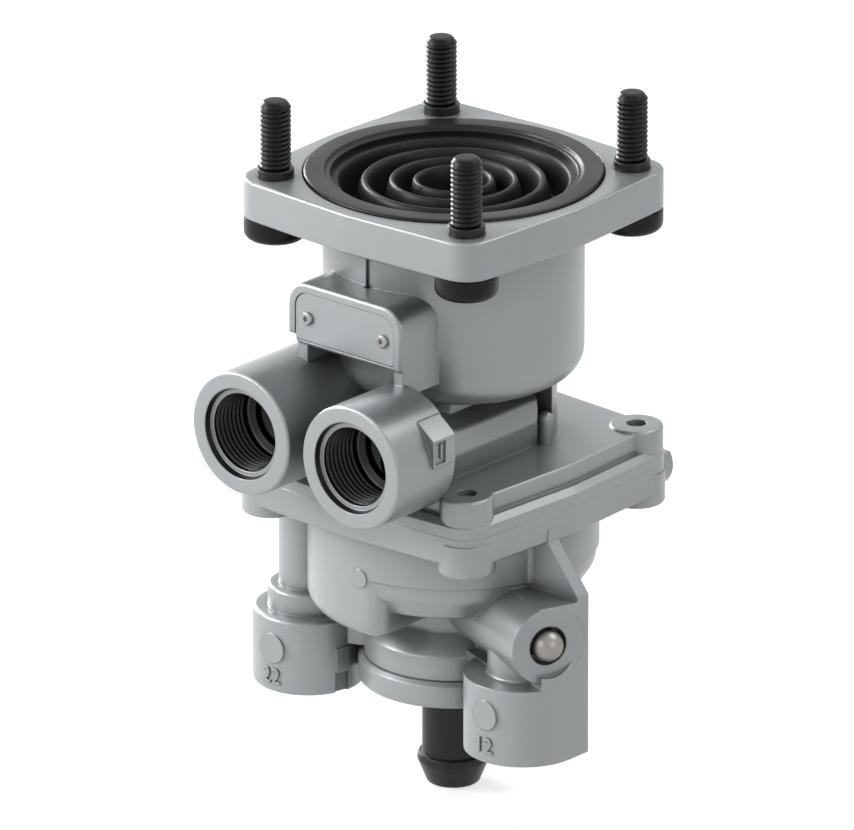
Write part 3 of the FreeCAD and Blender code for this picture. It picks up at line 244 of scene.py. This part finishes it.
def new_group(name, inputs, outputs):
    """A shader node group whose sockets are all numbers, with its two ends."""
    group = bpy.data.node_groups.new(name, "ShaderNodeTree")
    for label, value in inputs:
        socket = group.interface.new_socket(label, in_out="INPUT", socket_type="NodeSocketFloat")
        socket.default_value = value
    for label in outputs:
        group.interface.new_socket(label, in_out="OUTPUT", socket_type="NodeSocketFloat")
    start = group.nodes.new("NodeGroupInput")
    end = group.nodes.new("NodeGroupOutput")
    return group, start.outputs, end.inputs


def surface_group(name, grain_scale, cloud_scale, pit_scale):
    """Grain, broad clouds and small pits: puts out a height, a tone about 1 and a change of roughness."""
    group, given, result = new_group(
        name,
        [("Grain", 1.0), ("Clouds", 0.05), ("Pits", 0.3)],
        ["Height", "Tone", "Roughening"],
    )
    pit_size = 0.16
    place = object_place(group)
    grain = noise_node(group, grain_scale, 3, place)
    clouds = noise_node(group, cloud_scale, 2, place)
    pits = group.nodes.new("ShaderNodeTexVoronoi")
    pits.inputs["Scale"].default_value = pit_scale
    group.links.new(place, pits.inputs["Vector"])
    pit = math_node(group, "LESS_THAN", pits.outputs["Distance"], pit_size)
    pit = math_node(group, "MULTIPLY", pit, given["Pits"])
    height = math_node(group, "MULTIPLY", grain, given["Grain"])
    height = math_node(group, "SUBTRACT", height, pit)
    broad = math_node(group, "MULTIPLY", math_node(group, "SUBTRACT", clouds, 0.5), given["Clouds"])
    fine = math_node(group, "MULTIPLY", math_node(group, "SUBTRACT", grain, 0.5), given["Clouds"])
    tone = math_node(group, "ADD", math_node(group, "ADD", broad, fine), 1.0)
    group.links.new(height, result["Height"])
    group.links.new(tone, result["Tone"])
    group.links.new(broad, result["Roughening"])
    return group


def turning_group():
    """The fine rings that a lathe leaves round the main axis."""
    group, given, result = new_group("turning_marks", [("Depth", 1.0)], ["Height", "Tone"])
    feed, tint = 0.4, 0.02
    x, y, z = object_xyz(group)
    r = math_node(group, "SQRT", math_node(group, "ADD", square(group, x), square(group, y)))
    run = math_node(group, "MULTIPLY", math_node(group, "ADD", r, z), 2 * TAU / (feed * MM))
    wave = math_node(group, "SINE", run)
    tone = math_node(group, "ADD", math_node(group, "MULTIPLY", wave, tint), 1.0)
    group.links.new(math_node(group, "MULTIPLY", wave, given["Depth"]), result["Height"])
    group.links.new(tone, result["Tone"])
    return group


def painted_bore_shade_group():
    """Painted shade in the bores of the four ports: a mask for their dark walls, without the step behind each
    mouth and the thread's end.
    """
    group, given, result = new_group("painted_bore_shade", [("Step Light", 0.35)], ["Mask"])
    x, y, z = object_xyz(group)
    across = math_node(group, "ABSOLUTE", x)
    masks = []
    for port_x, side, side_at, along, face_at in (
            (PORT_X, z, PORT_Z, y, PORT_FACE_Y), (DOWN_X, y, DOWN_Y, z, DOWN_LOW_Z)):
        dx = math_node(group, "SUBTRACT", across, port_x * MM)
        ds = math_node(group, "SUBTRACT", side, side_at * MM)
        r2 = math_node(group, "ADD", square(group, dx), square(group, ds))
        inside = math_node(group, "LESS_THAN", r2, (MOUTH_R * MM) ** 2)
        depth = math_node(group, "SUBTRACT", along, face_at * MM)
        mouth = within(group, depth, RIM_BRIGHT, MOUTH_DEPTH - STEP_HALF)
        bore = within(group, depth, MOUTH_DEPTH + STEP_HALF, BORE_DEPTH)
        line = within(group, depth, THREAD_DEPTH - STEP_HALF, THREAD_DEPTH + LINE_WIDE)
        line = math_node(group, "MULTIPLY", line, given["Step Light"])
        dark = math_node(group, "SUBTRACT", math_node(group, "ADD", mouth, bore), line)
        masks.append(math_node(group, "MULTIPLY", inside, dark))
    group.links.new(math_node(group, "MAXIMUM", *masks), result["Mask"])
    return group


def painted_corner_shade_group():
    """Painted shade: inner corners and pockets are darker by how hidden they are, as a tone up to 1."""
    group, given, result = new_group("painted_corner_shade", [("Darkest", 0.45)], ["Tone"])
    reach, falloff = 16, 1.3
    hidden = group.nodes.new("ShaderNodeAmbientOcclusion")
    hidden.samples = 8
    hidden.inputs["Distance"].default_value = reach * MM
    open_share = math_node(group, "POWER", hidden.outputs["AO"], falloff)
    lightest = math_node(group, "SUBTRACT", 1.0, given["Darkest"])
    tone = math_node(group, "ADD", math_node(group, "MULTIPLY", open_share, lightest), given["Darkest"])
    group.links.new(tone, result["Tone"])
    return group


CASTING = surface_group("blasted_casting", grain_scale=2600, cloud_scale=40, pit_scale=900)
MOULDED = surface_group("moulded_skin", grain_scale=3200, cloud_scale=60, pit_scale=1100)
TURNING = turning_group()
BORE_SHADE = painted_bore_shade_group()
CORNER_SHADE = painted_corner_shade_group()

# Materials

ROUGHENING = 0.3           # how much the clouds change the roughness
RELIEF = 0.1               # height of the grain at full strength
MATERIALS = {}


def place_group(tree, group, **values):
    """Puts a shared finish into a material with the material's own values, and gives its outputs."""
    node = tree.nodes.new("ShaderNodeGroup")
    node.node_tree = group
    for label, value in values.items():
        node.inputs[label].default_value = value
    return node.outputs


def finish(name, colour, metal, rough, group, grain=0.5, clouds=0.05, pits=0.0, bump=0.1, edge=0.25,
           specular=0.5, cast=False):
    """A material with softened edges and a shared finish. A cast one has painted shade in its corners and
    bores too.
    """
    material = bpy.data.materials.new(name)
    material.use_nodes = True
    tree = material.node_tree
    sockets = tree.nodes["Principled BSDF"].inputs
    sockets["Metallic"].default_value = metal
    sockets["Specular IOR Level"].default_value = specular
    if group is TURNING:
        marks = place_group(tree, group, Depth=grain)
        sockets["Roughness"].default_value = rough
    else:
        marks = place_group(tree, group, Grain=grain, Clouds=clouds, Pits=pits)
        change = math_node(tree, "MULTIPLY", marks["Roughening"], ROUGHENING)
        tree.links.new(math_node(tree, "ADD", change, rough), sockets["Roughness"])
    tone = marks["Tone"]
    if cast:
        # painted shade: inner corners and pockets of the casting are darkened
        tone = math_node(tree, "MULTIPLY", tone, place_group(tree, CORNER_SHADE)["Tone"])
    skin = mix_node(tree, "MULTIPLY", 1.0, (*colour, 1), tone)
    if cast:
        # painted shade: the insides of the ports' bores turn dark
        skin = mix_node(tree, "MIX", place_group(tree, BORE_SHADE)["Mask"], skin, BORE_SHADE_COLOUR)
    tree.links.new(skin, sockets["Base Color"])
    soft = tree.nodes.new("ShaderNodeBevel")
    soft.samples = 6
    soft.inputs["Radius"].default_value = edge * MM
    ripple = tree.nodes.new("ShaderNodeBump")
    ripple.inputs["Strength"].default_value = bump
    ripple.inputs["Distance"].default_value = RELIEF * MM
    tree.links.new(marks["Height"], ripple.inputs["Height"])
    tree.links.new(soft.outputs["Normal"], ripple.inputs["Normal"])
    tree.links.new(ripple.outputs["Normal"], sockets["Normal"])
    MATERIALS[name] = material


finish("cast_aluminium", (0.41, 0.435, 0.445), 0.42, 0.34, CASTING,
       grain=1.0, clouds=0.12, pits=0.35, bump=0.30, edge=0.45, cast=True)
finish("plate_aluminium", (0.41, 0.435, 0.445), 0.42, 0.34, CASTING, bump=0.14, edge=0.2)
finish("turned_aluminium", (0.72, 0.73, 0.74), 1.0, 0.28, TURNING, grain=1.0, bump=0.2)
finish("black_rubber", (0.012, 0.0125, 0.013), 0.0, 0.42, MOULDED,
       grain=0.6, clouds=0.25, bump=0.15, edge=0.2, specular=0.25)
finish("seal_rubber", (0.025, 0.025, 0.026), 0.0, 0.4, MOULDED, grain=0.4, clouds=0.2)
finish("black_plastic", (0.010, 0.0105, 0.011), 0.0, 0.36, MOULDED,
       clouds=0.2, bump=0.12, edge=0.2, specular=0.3)
finish("black_steel", (0.0055, 0.0057, 0.006), 0.0, 0.34, MOULDED,
       clouds=0.3, bump=0.12, edge=0.15, specular=0.22)
finish("zinc_steel", (0.36, 0.37, 0.38), 0.8, 0.36, CASTING, grain=0.4, clouds=0.08, edge=0.2)
finish("bright_steel", (0.30, 0.285, 0.27), 0.9, 0.38, CASTING, grain=0.3, clouds=0.06, bump=0.05, edge=0.05)
finish("spring_steel", (0.40, 0.40, 0.42), 1.0, 0.3, CASTING, grain=0.3, clouds=0.06, bump=0.06)
finish("turned_brass", (0.70, 0.55, 0.27), 1.0, 0.26, TURNING, grain=1.0, bump=0.2)


# CAD nodes

def smooth_group():
    """Welds a mesh and smooths it, except over its corners."""
    group = bpy.data.node_groups.new("cad_smoothing", "GeometryNodeTree")
    group.interface.new_socket("Geometry", in_out="INPUT", socket_type="NodeSocketGeometry")
    group.interface.new_socket("Geometry", in_out="OUTPUT", socket_type="NodeSocketGeometry")
    start = group.nodes.new("NodeGroupInput")
    end = group.nodes.new("NodeGroupOutput")
    weld = group.nodes.new("GeometryNodeMergeByDistance")
    weld.inputs["Distance"].default_value = WELD * MM
    angle = group.nodes.new("GeometryNodeInputMeshEdgeAngle")
    corner = group.nodes.new("FunctionNodeCompare")
    corner.data_type = "FLOAT"
    corner.operation = "GREATER_THAN"
    corner.inputs["B"].default_value = math.radians(CORNER_ANGLE)
    normals = group.nodes.new("GeometryNodeSetMeshNormal")
    normals.mode = "SHARPNESS"
    normals.inputs["Remove Custom"].default_value = True
    group.links.new(start.outputs["Geometry"], weld.inputs["Geometry"])
    group.links.new(weld.outputs["Geometry"], normals.inputs["Mesh"])
    group.links.new(angle.outputs["Unsigned Angle"], corner.inputs["A"])
    group.links.new(corner.outputs["Result"], normals.inputs["Edge Sharpness"])
    group.links.new(normals.outputs["Mesh"], end.inputs["Geometry"])
    return group


SMOOTHING = smooth_group()


def smooth_by_angle(obj):
    obj.modifiers.new("cad_smoothing", "NODES").node_group = SMOOTHING


def dress(node, slot):
    """Gives a CAD node its material, and smooths it."""
    obj = nodes[node]
    obj.data.materials.clear()
    obj.data.materials.append(MATERIALS[slot])
    smooth_by_angle(obj)


# New pieces

def piece(name, slot, body, points, faces, smooth=True):
    """A mesh from points in millimetres, which rides on a body if one is given."""
    mesh = bpy.data.meshes.new(name)
    mesh.from_pydata([(x * MM, y * MM, z * MM) for x, y, z in points], [], faces)
    if smooth:
        mesh.shade_smooth()
    else:
        mesh.shade_flat()
    mesh.materials.append(MATERIALS[slot])
    obj = bpy.data.objects.new(name, mesh)
    bpy.context.scene.collection.objects.link(obj)
    if body:
        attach(obj, body)
    return obj


def strip_faces(rows, columns, closed):
    """Quads between rows of points. With closed, each row joins up with its own start."""
    faces = []
    for i in range(rows - 1):
        for j in range(columns if closed else columns - 1):
            k = (j + 1) % columns
            faces.append((i * columns + j, i * columns + k, (i + 1) * columns + k, (i + 1) * columns + j))
    return faces


def quarter(r, z, across, up, steps):
    """A quarter of a round about (r, z), from straight over or under it to straight beside it."""
    turns = [math.pi / 2 * i / steps for i in range(steps + 1)]
    return [(r + across * math.sin(a), z + up * math.cos(a)) for a in turns]


# Screws

def hexagon(flats):
    """The radius of a hexagon, by angle."""
    sixth = TAU / 6
    return lambda a: flats / 2 / math.cos((a + sixth / 2) % sixth - sixth / 2)


def thread(z):
    """The radius of the M8 thread at a height, by angle."""
    crest, flank = 0.1, 0.75           # shares of half a turn

    def radius(a):
        turn = (z / M8_THREAD - a / TAU) % 1
        sunk = min(1, max(0, abs(turn - 0.5) * 2 - crest) / flank)
        return M8_R - M8_THREAD_DEEP * sunk
    return radius


def turned_piece(name, slot, body, places, rows, sides):
    """One piece of turned forms at several places. A row is (radius, z), and a radius may go by angle."""
    points, faces = [], []
    for x, y in places:
        base = len(points)
        for radius, z in rows:
            for i in range(sides):
                a = TAU * i / sides
                r = radius(a) if callable(radius) else radius
                points.append((x + r * math.cos(a), y + r * math.sin(a), z))
        faces += [tuple(base + k for k in f) for f in strip_faces(len(rows), sides, True)]
        faces.append(tuple(base + i for i in reversed(range(sides))))
        last = base + (len(rows) - 1) * sides
        faces.append(tuple(last + i for i in range(sides)))
    return piece(name, slot, body, points, faces)


def screw_rows():
    """The outline of a screw from its hexagon socket up over the head, shank and thread to the tip."""
    low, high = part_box("mounting_screws")
    head_low, tip = low.z / MM, high.z / MM
    seat = head_low + M8_HEAD_THICK
    socket = hexagon(HEX_FLATS)
    rows = [
        (lambda a: socket(a) * 0.5, head_low + HEX_DEEP), (socket, head_low + HEX_DEEP),
        (socket, head_low + HEX_BEVEL), (lambda a: socket(a) + HEX_BEVEL, head_low),
    ]
    rows += quarter(M8_HEAD_R - M8_HEAD_ROUND, head_low + M8_HEAD_ROUND, M8_HEAD_ROUND, -M8_HEAD_ROUND, 6)
    rows += [
        (M8_HEAD_R, seat - M8_HEAD_EDGE), (M8_HEAD_R - M8_HEAD_EDGE / 4, seat - M8_HEAD_EDGE / 4),
        (M8_HEAD_R - M8_HEAD_EDGE, seat), (M8_SHANK_R, seat), (M8_SHANK_R, M8_SHANK_TOP),
        (M8_R - M8_THREAD_DEEP, M8_ROOT_Z),
    ]
    threaded = tip - M8_TIP_LONG - M8_THREAD_Z
    steps = round(threaded / M8_THREAD * THREAD_ROWS)
    for i in range(steps + 1):
        z = M8_THREAD_Z + threaded * i / steps
        rows.append((thread(z), z))
    return rows + [(M8_R - inwards, tip - below) for inwards, below in M8_TIP]


def mounting_screws():
    """Black M8 screws that stand up: head with a hexagon socket, waisted shank, thread and bevelled tip."""
    half = SCREW_PITCH / 2
    places = [(half, half), (-half, half), (-half, -half), (half, -half)]
    screws = turned_piece("threaded_screws", "black_steel", "housing", places, screw_rows(), SCREW_SIDES)
    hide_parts("mounting_screws")
    smooth_by_angle(screws)


# Port threads

def port_thread(name, mouth, axis):
    """The thread of a port, as a ridge that winds into the bore from its mouth."""
    axis = Vector(axis)
    side = Vector((1, 0, 0))
    other = axis.cross(side)
    foot_r = PORT_R + RIDGE_SUNK
    turns = PORT_THREAD_LONG / PORT_THREAD
    steps = int(turns * RIDGE_STEPS)
    points = []
    for i in range(steps + 1):
        a = TAU * turns * i / steps
        out = side * math.cos(a) + other * math.sin(a)
        fade = min(1, i / RIDGE_FADE, (steps - i) / RIDGE_FADE)
        crest_r = PORT_R - PORT_THREAD_DEEP * fade
        for offset, r in ((-RIDGE_FOOT, foot_r), (-RIDGE_CREST, crest_r),
                          (RIDGE_CREST, crest_r), (RIDGE_FOOT, foot_r)):
            depth = PORT_THREAD_LONG * i / steps + RIDGE_FOOT + offset
            points.append(Vector(mouth) + out * r - axis * depth)
    piece(name, "cast_aluminium", "housing", points, strip_faces(steps + 1, 4, False), smooth=False)


def port_threads():
    for name, x in (("port_11_thread", PORT_X), ("port_21_thread", -PORT_X)):
        port_thread(name, (x, PORT_FACE_Y + PORT_THREAD_START, PORT_Z), (0, -1, 0))
    for name, x in (("port_12_thread", DOWN_X), ("port_22_thread", -DOWN_X)):
        port_thread(name, (x, DOWN_Y, DOWN_LOW_Z + PORT_THREAD_START), (0, 0, -1))


# Boot

def boot_section():
    """The boot's section from its rim over the folds and the cup, then back underneath, as (r, z)."""
    low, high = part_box("rubber_boot")
    rim_r, rim_z, cup_low = high.x / MM, high.z / MM, low.z / MM
    floor_z = cup_low + BOOT_WALL
    turns = [(SHOULDER_R, rim_z)] + [(r, CREST_Z if i % 2 else VALLEY_Z) for i, r in enumerate(FOLDS)]
    turns.append((CUP_R, floor_z))
    top = [(rim_r, rim_z)]
    for (r0, z0), (r1, z1) in zip(turns, turns[1:]):
        for i in range(FOLD_STEPS):
            t = i / FOLD_STEPS
            wave = math.cos(math.pi * t)
            wave = (1 + FOLD_FULL) * wave - FOLD_FULL * wave ** 3
            top.append((r0 + (r1 - r0) * t, (z0 + z1) / 2 + (z0 - z1) / 2 * wave))
    top += [(CUP_R, floor_z), (CUP_FLAT_R, floor_z), (CUP_AXIS_R, floor_z)]
    under = [(CUP_AXIS_R, cup_low)] + [(r, cup_low + rise) for r, rise in CUP_UNDER]
    spine = [p for p in top if SKIN_INNER_R < p[0] < SKIN_OUTER_R]
    for (r, z), (ahead_r, ahead_z) in reversed(list(zip(spine, spine[1:]))):
        across = Vector((ahead_z - z, r - ahead_r)).normalized()
        under.append((r - across.x * BOOT_WALL, z - across.y * BOOT_WALL))
    under += [(RIM_INNER_R, rim_z - BOOT_RIM_THICK), (rim_r, rim_z - BOOT_RIM_THICK)]
    return top, under


def section_normals(line):
    """The outward direction at each point of a section that is drawn inwards on top and outwards below."""
    normals = []
    for i in range(len(line)):
        a, b = line[max(i - 1, 0)], line[min(i + 1, len(line) - 1)]
        normals.append(Vector((b[1] - a[1], a[0] - b[0])).normalized())
    return normals


def boot():
    """The folded boot in sectors."""
    top, under = boot_section()
    line = top + under
    normals = section_normals(top) + section_normals(under)
    width = TAU / SECTORS
    faces = strip_faces(len(line), SECTOR_STEPS + 1, False)
    for s in range(SECTORS):
        middle = width * s
        points, directions = [], []
        for (r, z), n in zip(line, normals):
            for j in range(SECTOR_STEPS + 1):
                a = middle + width * (j / SECTOR_STEPS - 0.5)
                points.append((r * math.cos(a), r * math.sin(a), z))
                directions.append((n.x * math.cos(a), n.x * math.sin(a), n.y))
        obj = piece("boot_sector_%02d" % (s + 1), "black_rubber", None, points, faces)
        obj.data.normals_split_custom_set_from_vertices(directions)
        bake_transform(obj)
        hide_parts("rubber_boot")


# Springs

def spring(name, node, body, joint, wire_r, turns, shortens):
    """A coil with a closed turn at each end."""
    low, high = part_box(node)
    bottom = low.z / MM
    length = high.z / MM - bottom
    coil_r = high.x / MM - wire_r
    drawn_r = wire_r * WIRE_SHARE
    rise = length - 2 * wire_r - 4 * drawn_r
    steps = int((turns + 2) * COIL_STEPS)
    points = []
    for i in range(steps + 1):
        t = (turns + 2) * i / steps
        opened = min(max(t - 1, 0), turns) / turns
        closed = min(t, 1) + max(t - turns - 1, 0)
        z = bottom + wire_r + 2 * drawn_r * closed + rise * opened
        a = TAU * t
        for k in range(WIRE_SIDES):
            b = TAU * k / WIRE_SIDES
            r = coil_r + drawn_r * math.cos(b)
            points.append((r * math.cos(a), r * math.sin(a), z + drawn_r * math.sin(b)))
    faces = strip_faces(steps + 1, WIRE_SIDES, True)
    faces.append(tuple(reversed(range(WIRE_SIDES))))
    faces.append(tuple(steps * WIRE_SIDES + k for k in range(WIRE_SIDES)))
    obj = piece(name, "spring_steel", body, points, faces)
    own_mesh(obj)
    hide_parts(node)


# Small cast forms

def lathed(name, x, y, section):
    """Cast metal round an upright axis, closed all round, from its section (radius, z) in order."""
    points = []
    for r, z in section + section[:1]:
        for i in range(LATHED_SIDES):
            a = TAU * i / LATHED_SIDES
            points.append((x + r * math.cos(a), y + r * math.sin(a), z))
    faces = strip_faces(len(section) + 1, LATHED_SIDES, True)
    smooth_by_angle(piece(name, "cast_aluminium", "housing", points, faces))


def port_12_neck():
    """The round neck between port 12's drum and the boss of the ball plug, open along its middle."""
    root_r = NECK_OUT + NECK_ROOT
    section = [(NECK_IN, NECK_FOOT_Z - NECK_SUNK), (root_r, NECK_FOOT_Z - NECK_SUNK)]
    section += quarter(root_r, NECK_FOOT_Z + NECK_ROOT, -NECK_ROOT, -NECK_ROOT, 4)
    section += [(NECK_OUT, NECK_TOP_Z), (NECK_IN, NECK_TOP_Z)]
    lathed("port_12_neck", DOWN_X, DOWN_Y, section)


def ridge_pillar():
    """The short round pillar where the ridge beside port 11 ends."""
    dome = reversed(quarter(0, PILLAR_TOP_Z - PILLAR_R, PILLAR_R, PILLAR_R, 8))
    section = [(AXIS_R, PILLAR_LOW_Z), (PILLAR_R, PILLAR_LOW_Z)] + [(max(AXIS_R, r), z) for r, z in dome]
    lathed("ridge_pillar", PILLAR_X, PILLAR_Y, section)


def groove_floor():
    """The raised floor of the upright groove above the plate's pad."""
    points = [(x, y, z) for x in GROOVE_X for y in GROOVE_Y for z in GROOVE_Z]
    faces = [(0, 1, 3, 2), (4, 6, 7, 5), (0, 4, 5, 1), (2, 3, 7, 6), (0, 2, 6, 4), (1, 5, 7, 3)]
    piece("groove_floor", "cast_aluminium", "housing", points, faces, smooth=False)


# Figures

def numeral(name, text, height, place, spacing=1.0):
    """Raised figures. place turns (across, up, out) in millimetres into a point in millimetres."""
    curve = bpy.data.curves.new(name, "FONT")
    curve.body = text
    curve.size = height * FIGURE_TYPE
    curve.space_character = spacing
    curve.align_x = "CENTER"
    curve.align_y = "CENTER"
    curve.extrude = FIGURE_THICK
    curve.offset = FIGURE_FAT
    curve.resolution_u = 3
    source = bpy.data.objects.new(name + "_text", curve)
    bpy.context.scene.collection.objects.link(source)
    bpy.context.view_layer.update()
    mesh = bpy.data.meshes.new_from_object(source.evaluated_get(bpy.context.evaluated_depsgraph_get()))
    bpy.data.objects.remove(source)
    points = [place(v.co.x, v.co.y, v.co.z + FIGURE_OUT) for v in mesh.vertices]
    faces = [tuple(p.vertices) for p in mesh.polygons]
    piece(name, "cast_aluminium", "housing", points, faces, smooth=False)


def on_drum(x, y, z, r):
    """A place on the -Y side of an upright drum."""
    def place(across, up, out):
        a = across / r - math.pi / 2
        return (x + (r + out) * math.cos(a), y + (r + out) * math.sin(a), z + up)
    return place


def on_side(x, y, z):
    """A place on a flat that faces +X."""
    return lambda across, up, out: (x + out, y + across, z + up)


# Room, light and camera

def room():
    """A plain pale floor just below the object."""
    floor_z = bounds_at_load[0].z - FLOOR_BELOW * MM
    half = FLOOR_HALF
    corners = [(-half, -half, floor_z), (half, -half, floor_z), (half, half, floor_z), (-half, half, floor_z)]
    mesh = bpy.data.meshes.new("floor")
    mesh.from_pydata(corners, [], [(0, 1, 2, 3)])
    floor = bpy.data.objects.new("floor", mesh)
    bpy.context.scene.collection.objects.link(floor)
    material = bpy.data.materials.new("white_floor")
    material.use_nodes = True
    tree = material.node_tree
    sockets = tree.nodes["Principled BSDF"].inputs
    sockets["Base Color"].default_value = FLOOR_COLOUR
    sockets["Roughness"].default_value = 0.9
    sockets["Specular IOR Level"].default_value = 0.1
    sockets["Emission Color"].default_value = (1, 1, 1, 1)
    tree.links.new(seen(tree, FLOOR_SEEN), sockets["Emission Strength"])
    mesh.materials.append(material)


def seen(tree, strength):
    """Strength on the rays that show the background: from the camera, in gloss and through glass."""
    rays = tree.nodes.new("ShaderNodeLightPath").outputs
    shown = math_node(tree, "MAXIMUM", rays["Is Camera Ray"], rays["Is Transmission Ray"])
    shown = math_node(tree, "MAXIMUM", shown, rays["Is Glossy Ray"])
    return math_node(tree, "MULTIPLY", shown, strength)


def sky():
    """A plain world with one strength for light, and another that the camera sees."""
    world = bpy.data.worlds.new("studio")
    bpy.context.scene.world = world
    world.use_nodes = True
    tree = world.node_tree
    sockets = tree.nodes["Background"].inputs
    sockets["Color"].default_value = (1, 1, 1, 1)
    extra = seen(tree, SKY_SEEN - SKY_LIGHT)
    tree.links.new(math_node(tree, "ADD", extra, SKY_LIGHT), sockets["Strength"])


def stand(name, data, azimuth, elevation, distance):
    """Stands a lamp or the camera at a distance in metres. Azimuth 0 is on the -Y side, 90 on the +X side."""
    a, e = math.radians(azimuth), math.radians(elevation)
    away = Vector((math.sin(a) * math.cos(e), -math.cos(a) * math.cos(e), math.sin(e)))
    obj = bpy.data.objects.new(name, data)
    bpy.context.scene.collection.objects.link(obj)
    obj.location = Vector(AIM) * MM + away * distance
    obj.rotation_euler = away.to_track_quat("Z", "Y").to_euler()
    return obj


def lamp(name, azimuth, elevation, size, power):
    """A square area lamp."""
    light = bpy.data.lights.new(name, "AREA")
    light.shape = "SQUARE"
    light.size = size
    light.energy = power
    stand(name, light, azimuth, elevation, LAMP_DISTANCE)


def camera():
    data = bpy.data.cameras.new("camera")
    data.lens = LENS
    data.sensor_width = SENSOR
    data.clip_end = 100
    bpy.context.scene.camera = stand("camera", data, AZIMUTH, ELEVATION, FRAME_WIDE * MM * LENS / SENSOR)


camera()
for part in frame["record"]["subparts"]:
    dress(part["node"], part["material_slot"])

mounting_screws()
boot()
port_threads()
for row in SPRINGS:
    spring(*row)
port_12_neck()
ridge_pillar()
groove_floor()
numeral("figures_22", "22", FIGURE_HIGH, on_drum(-DOWN_X, DOWN_Y, FIGURES_Z, DRUM_22_R))
numeral("figures_12", "12", FIGURE_HIGH, on_drum(DOWN_X, DOWN_Y, FIGURES_Z, DRUM_12_R))
numeral("figures_11", "11", FIGURE_HIGH_11, on_side(*FIGURES_11_AT), FIGURES_11_SPACING)

room()
sky()
for name, row in LAMPS.items():
    lamp(name, *row)
bpy.context.scene.view_settings.view_transform = "Standard"
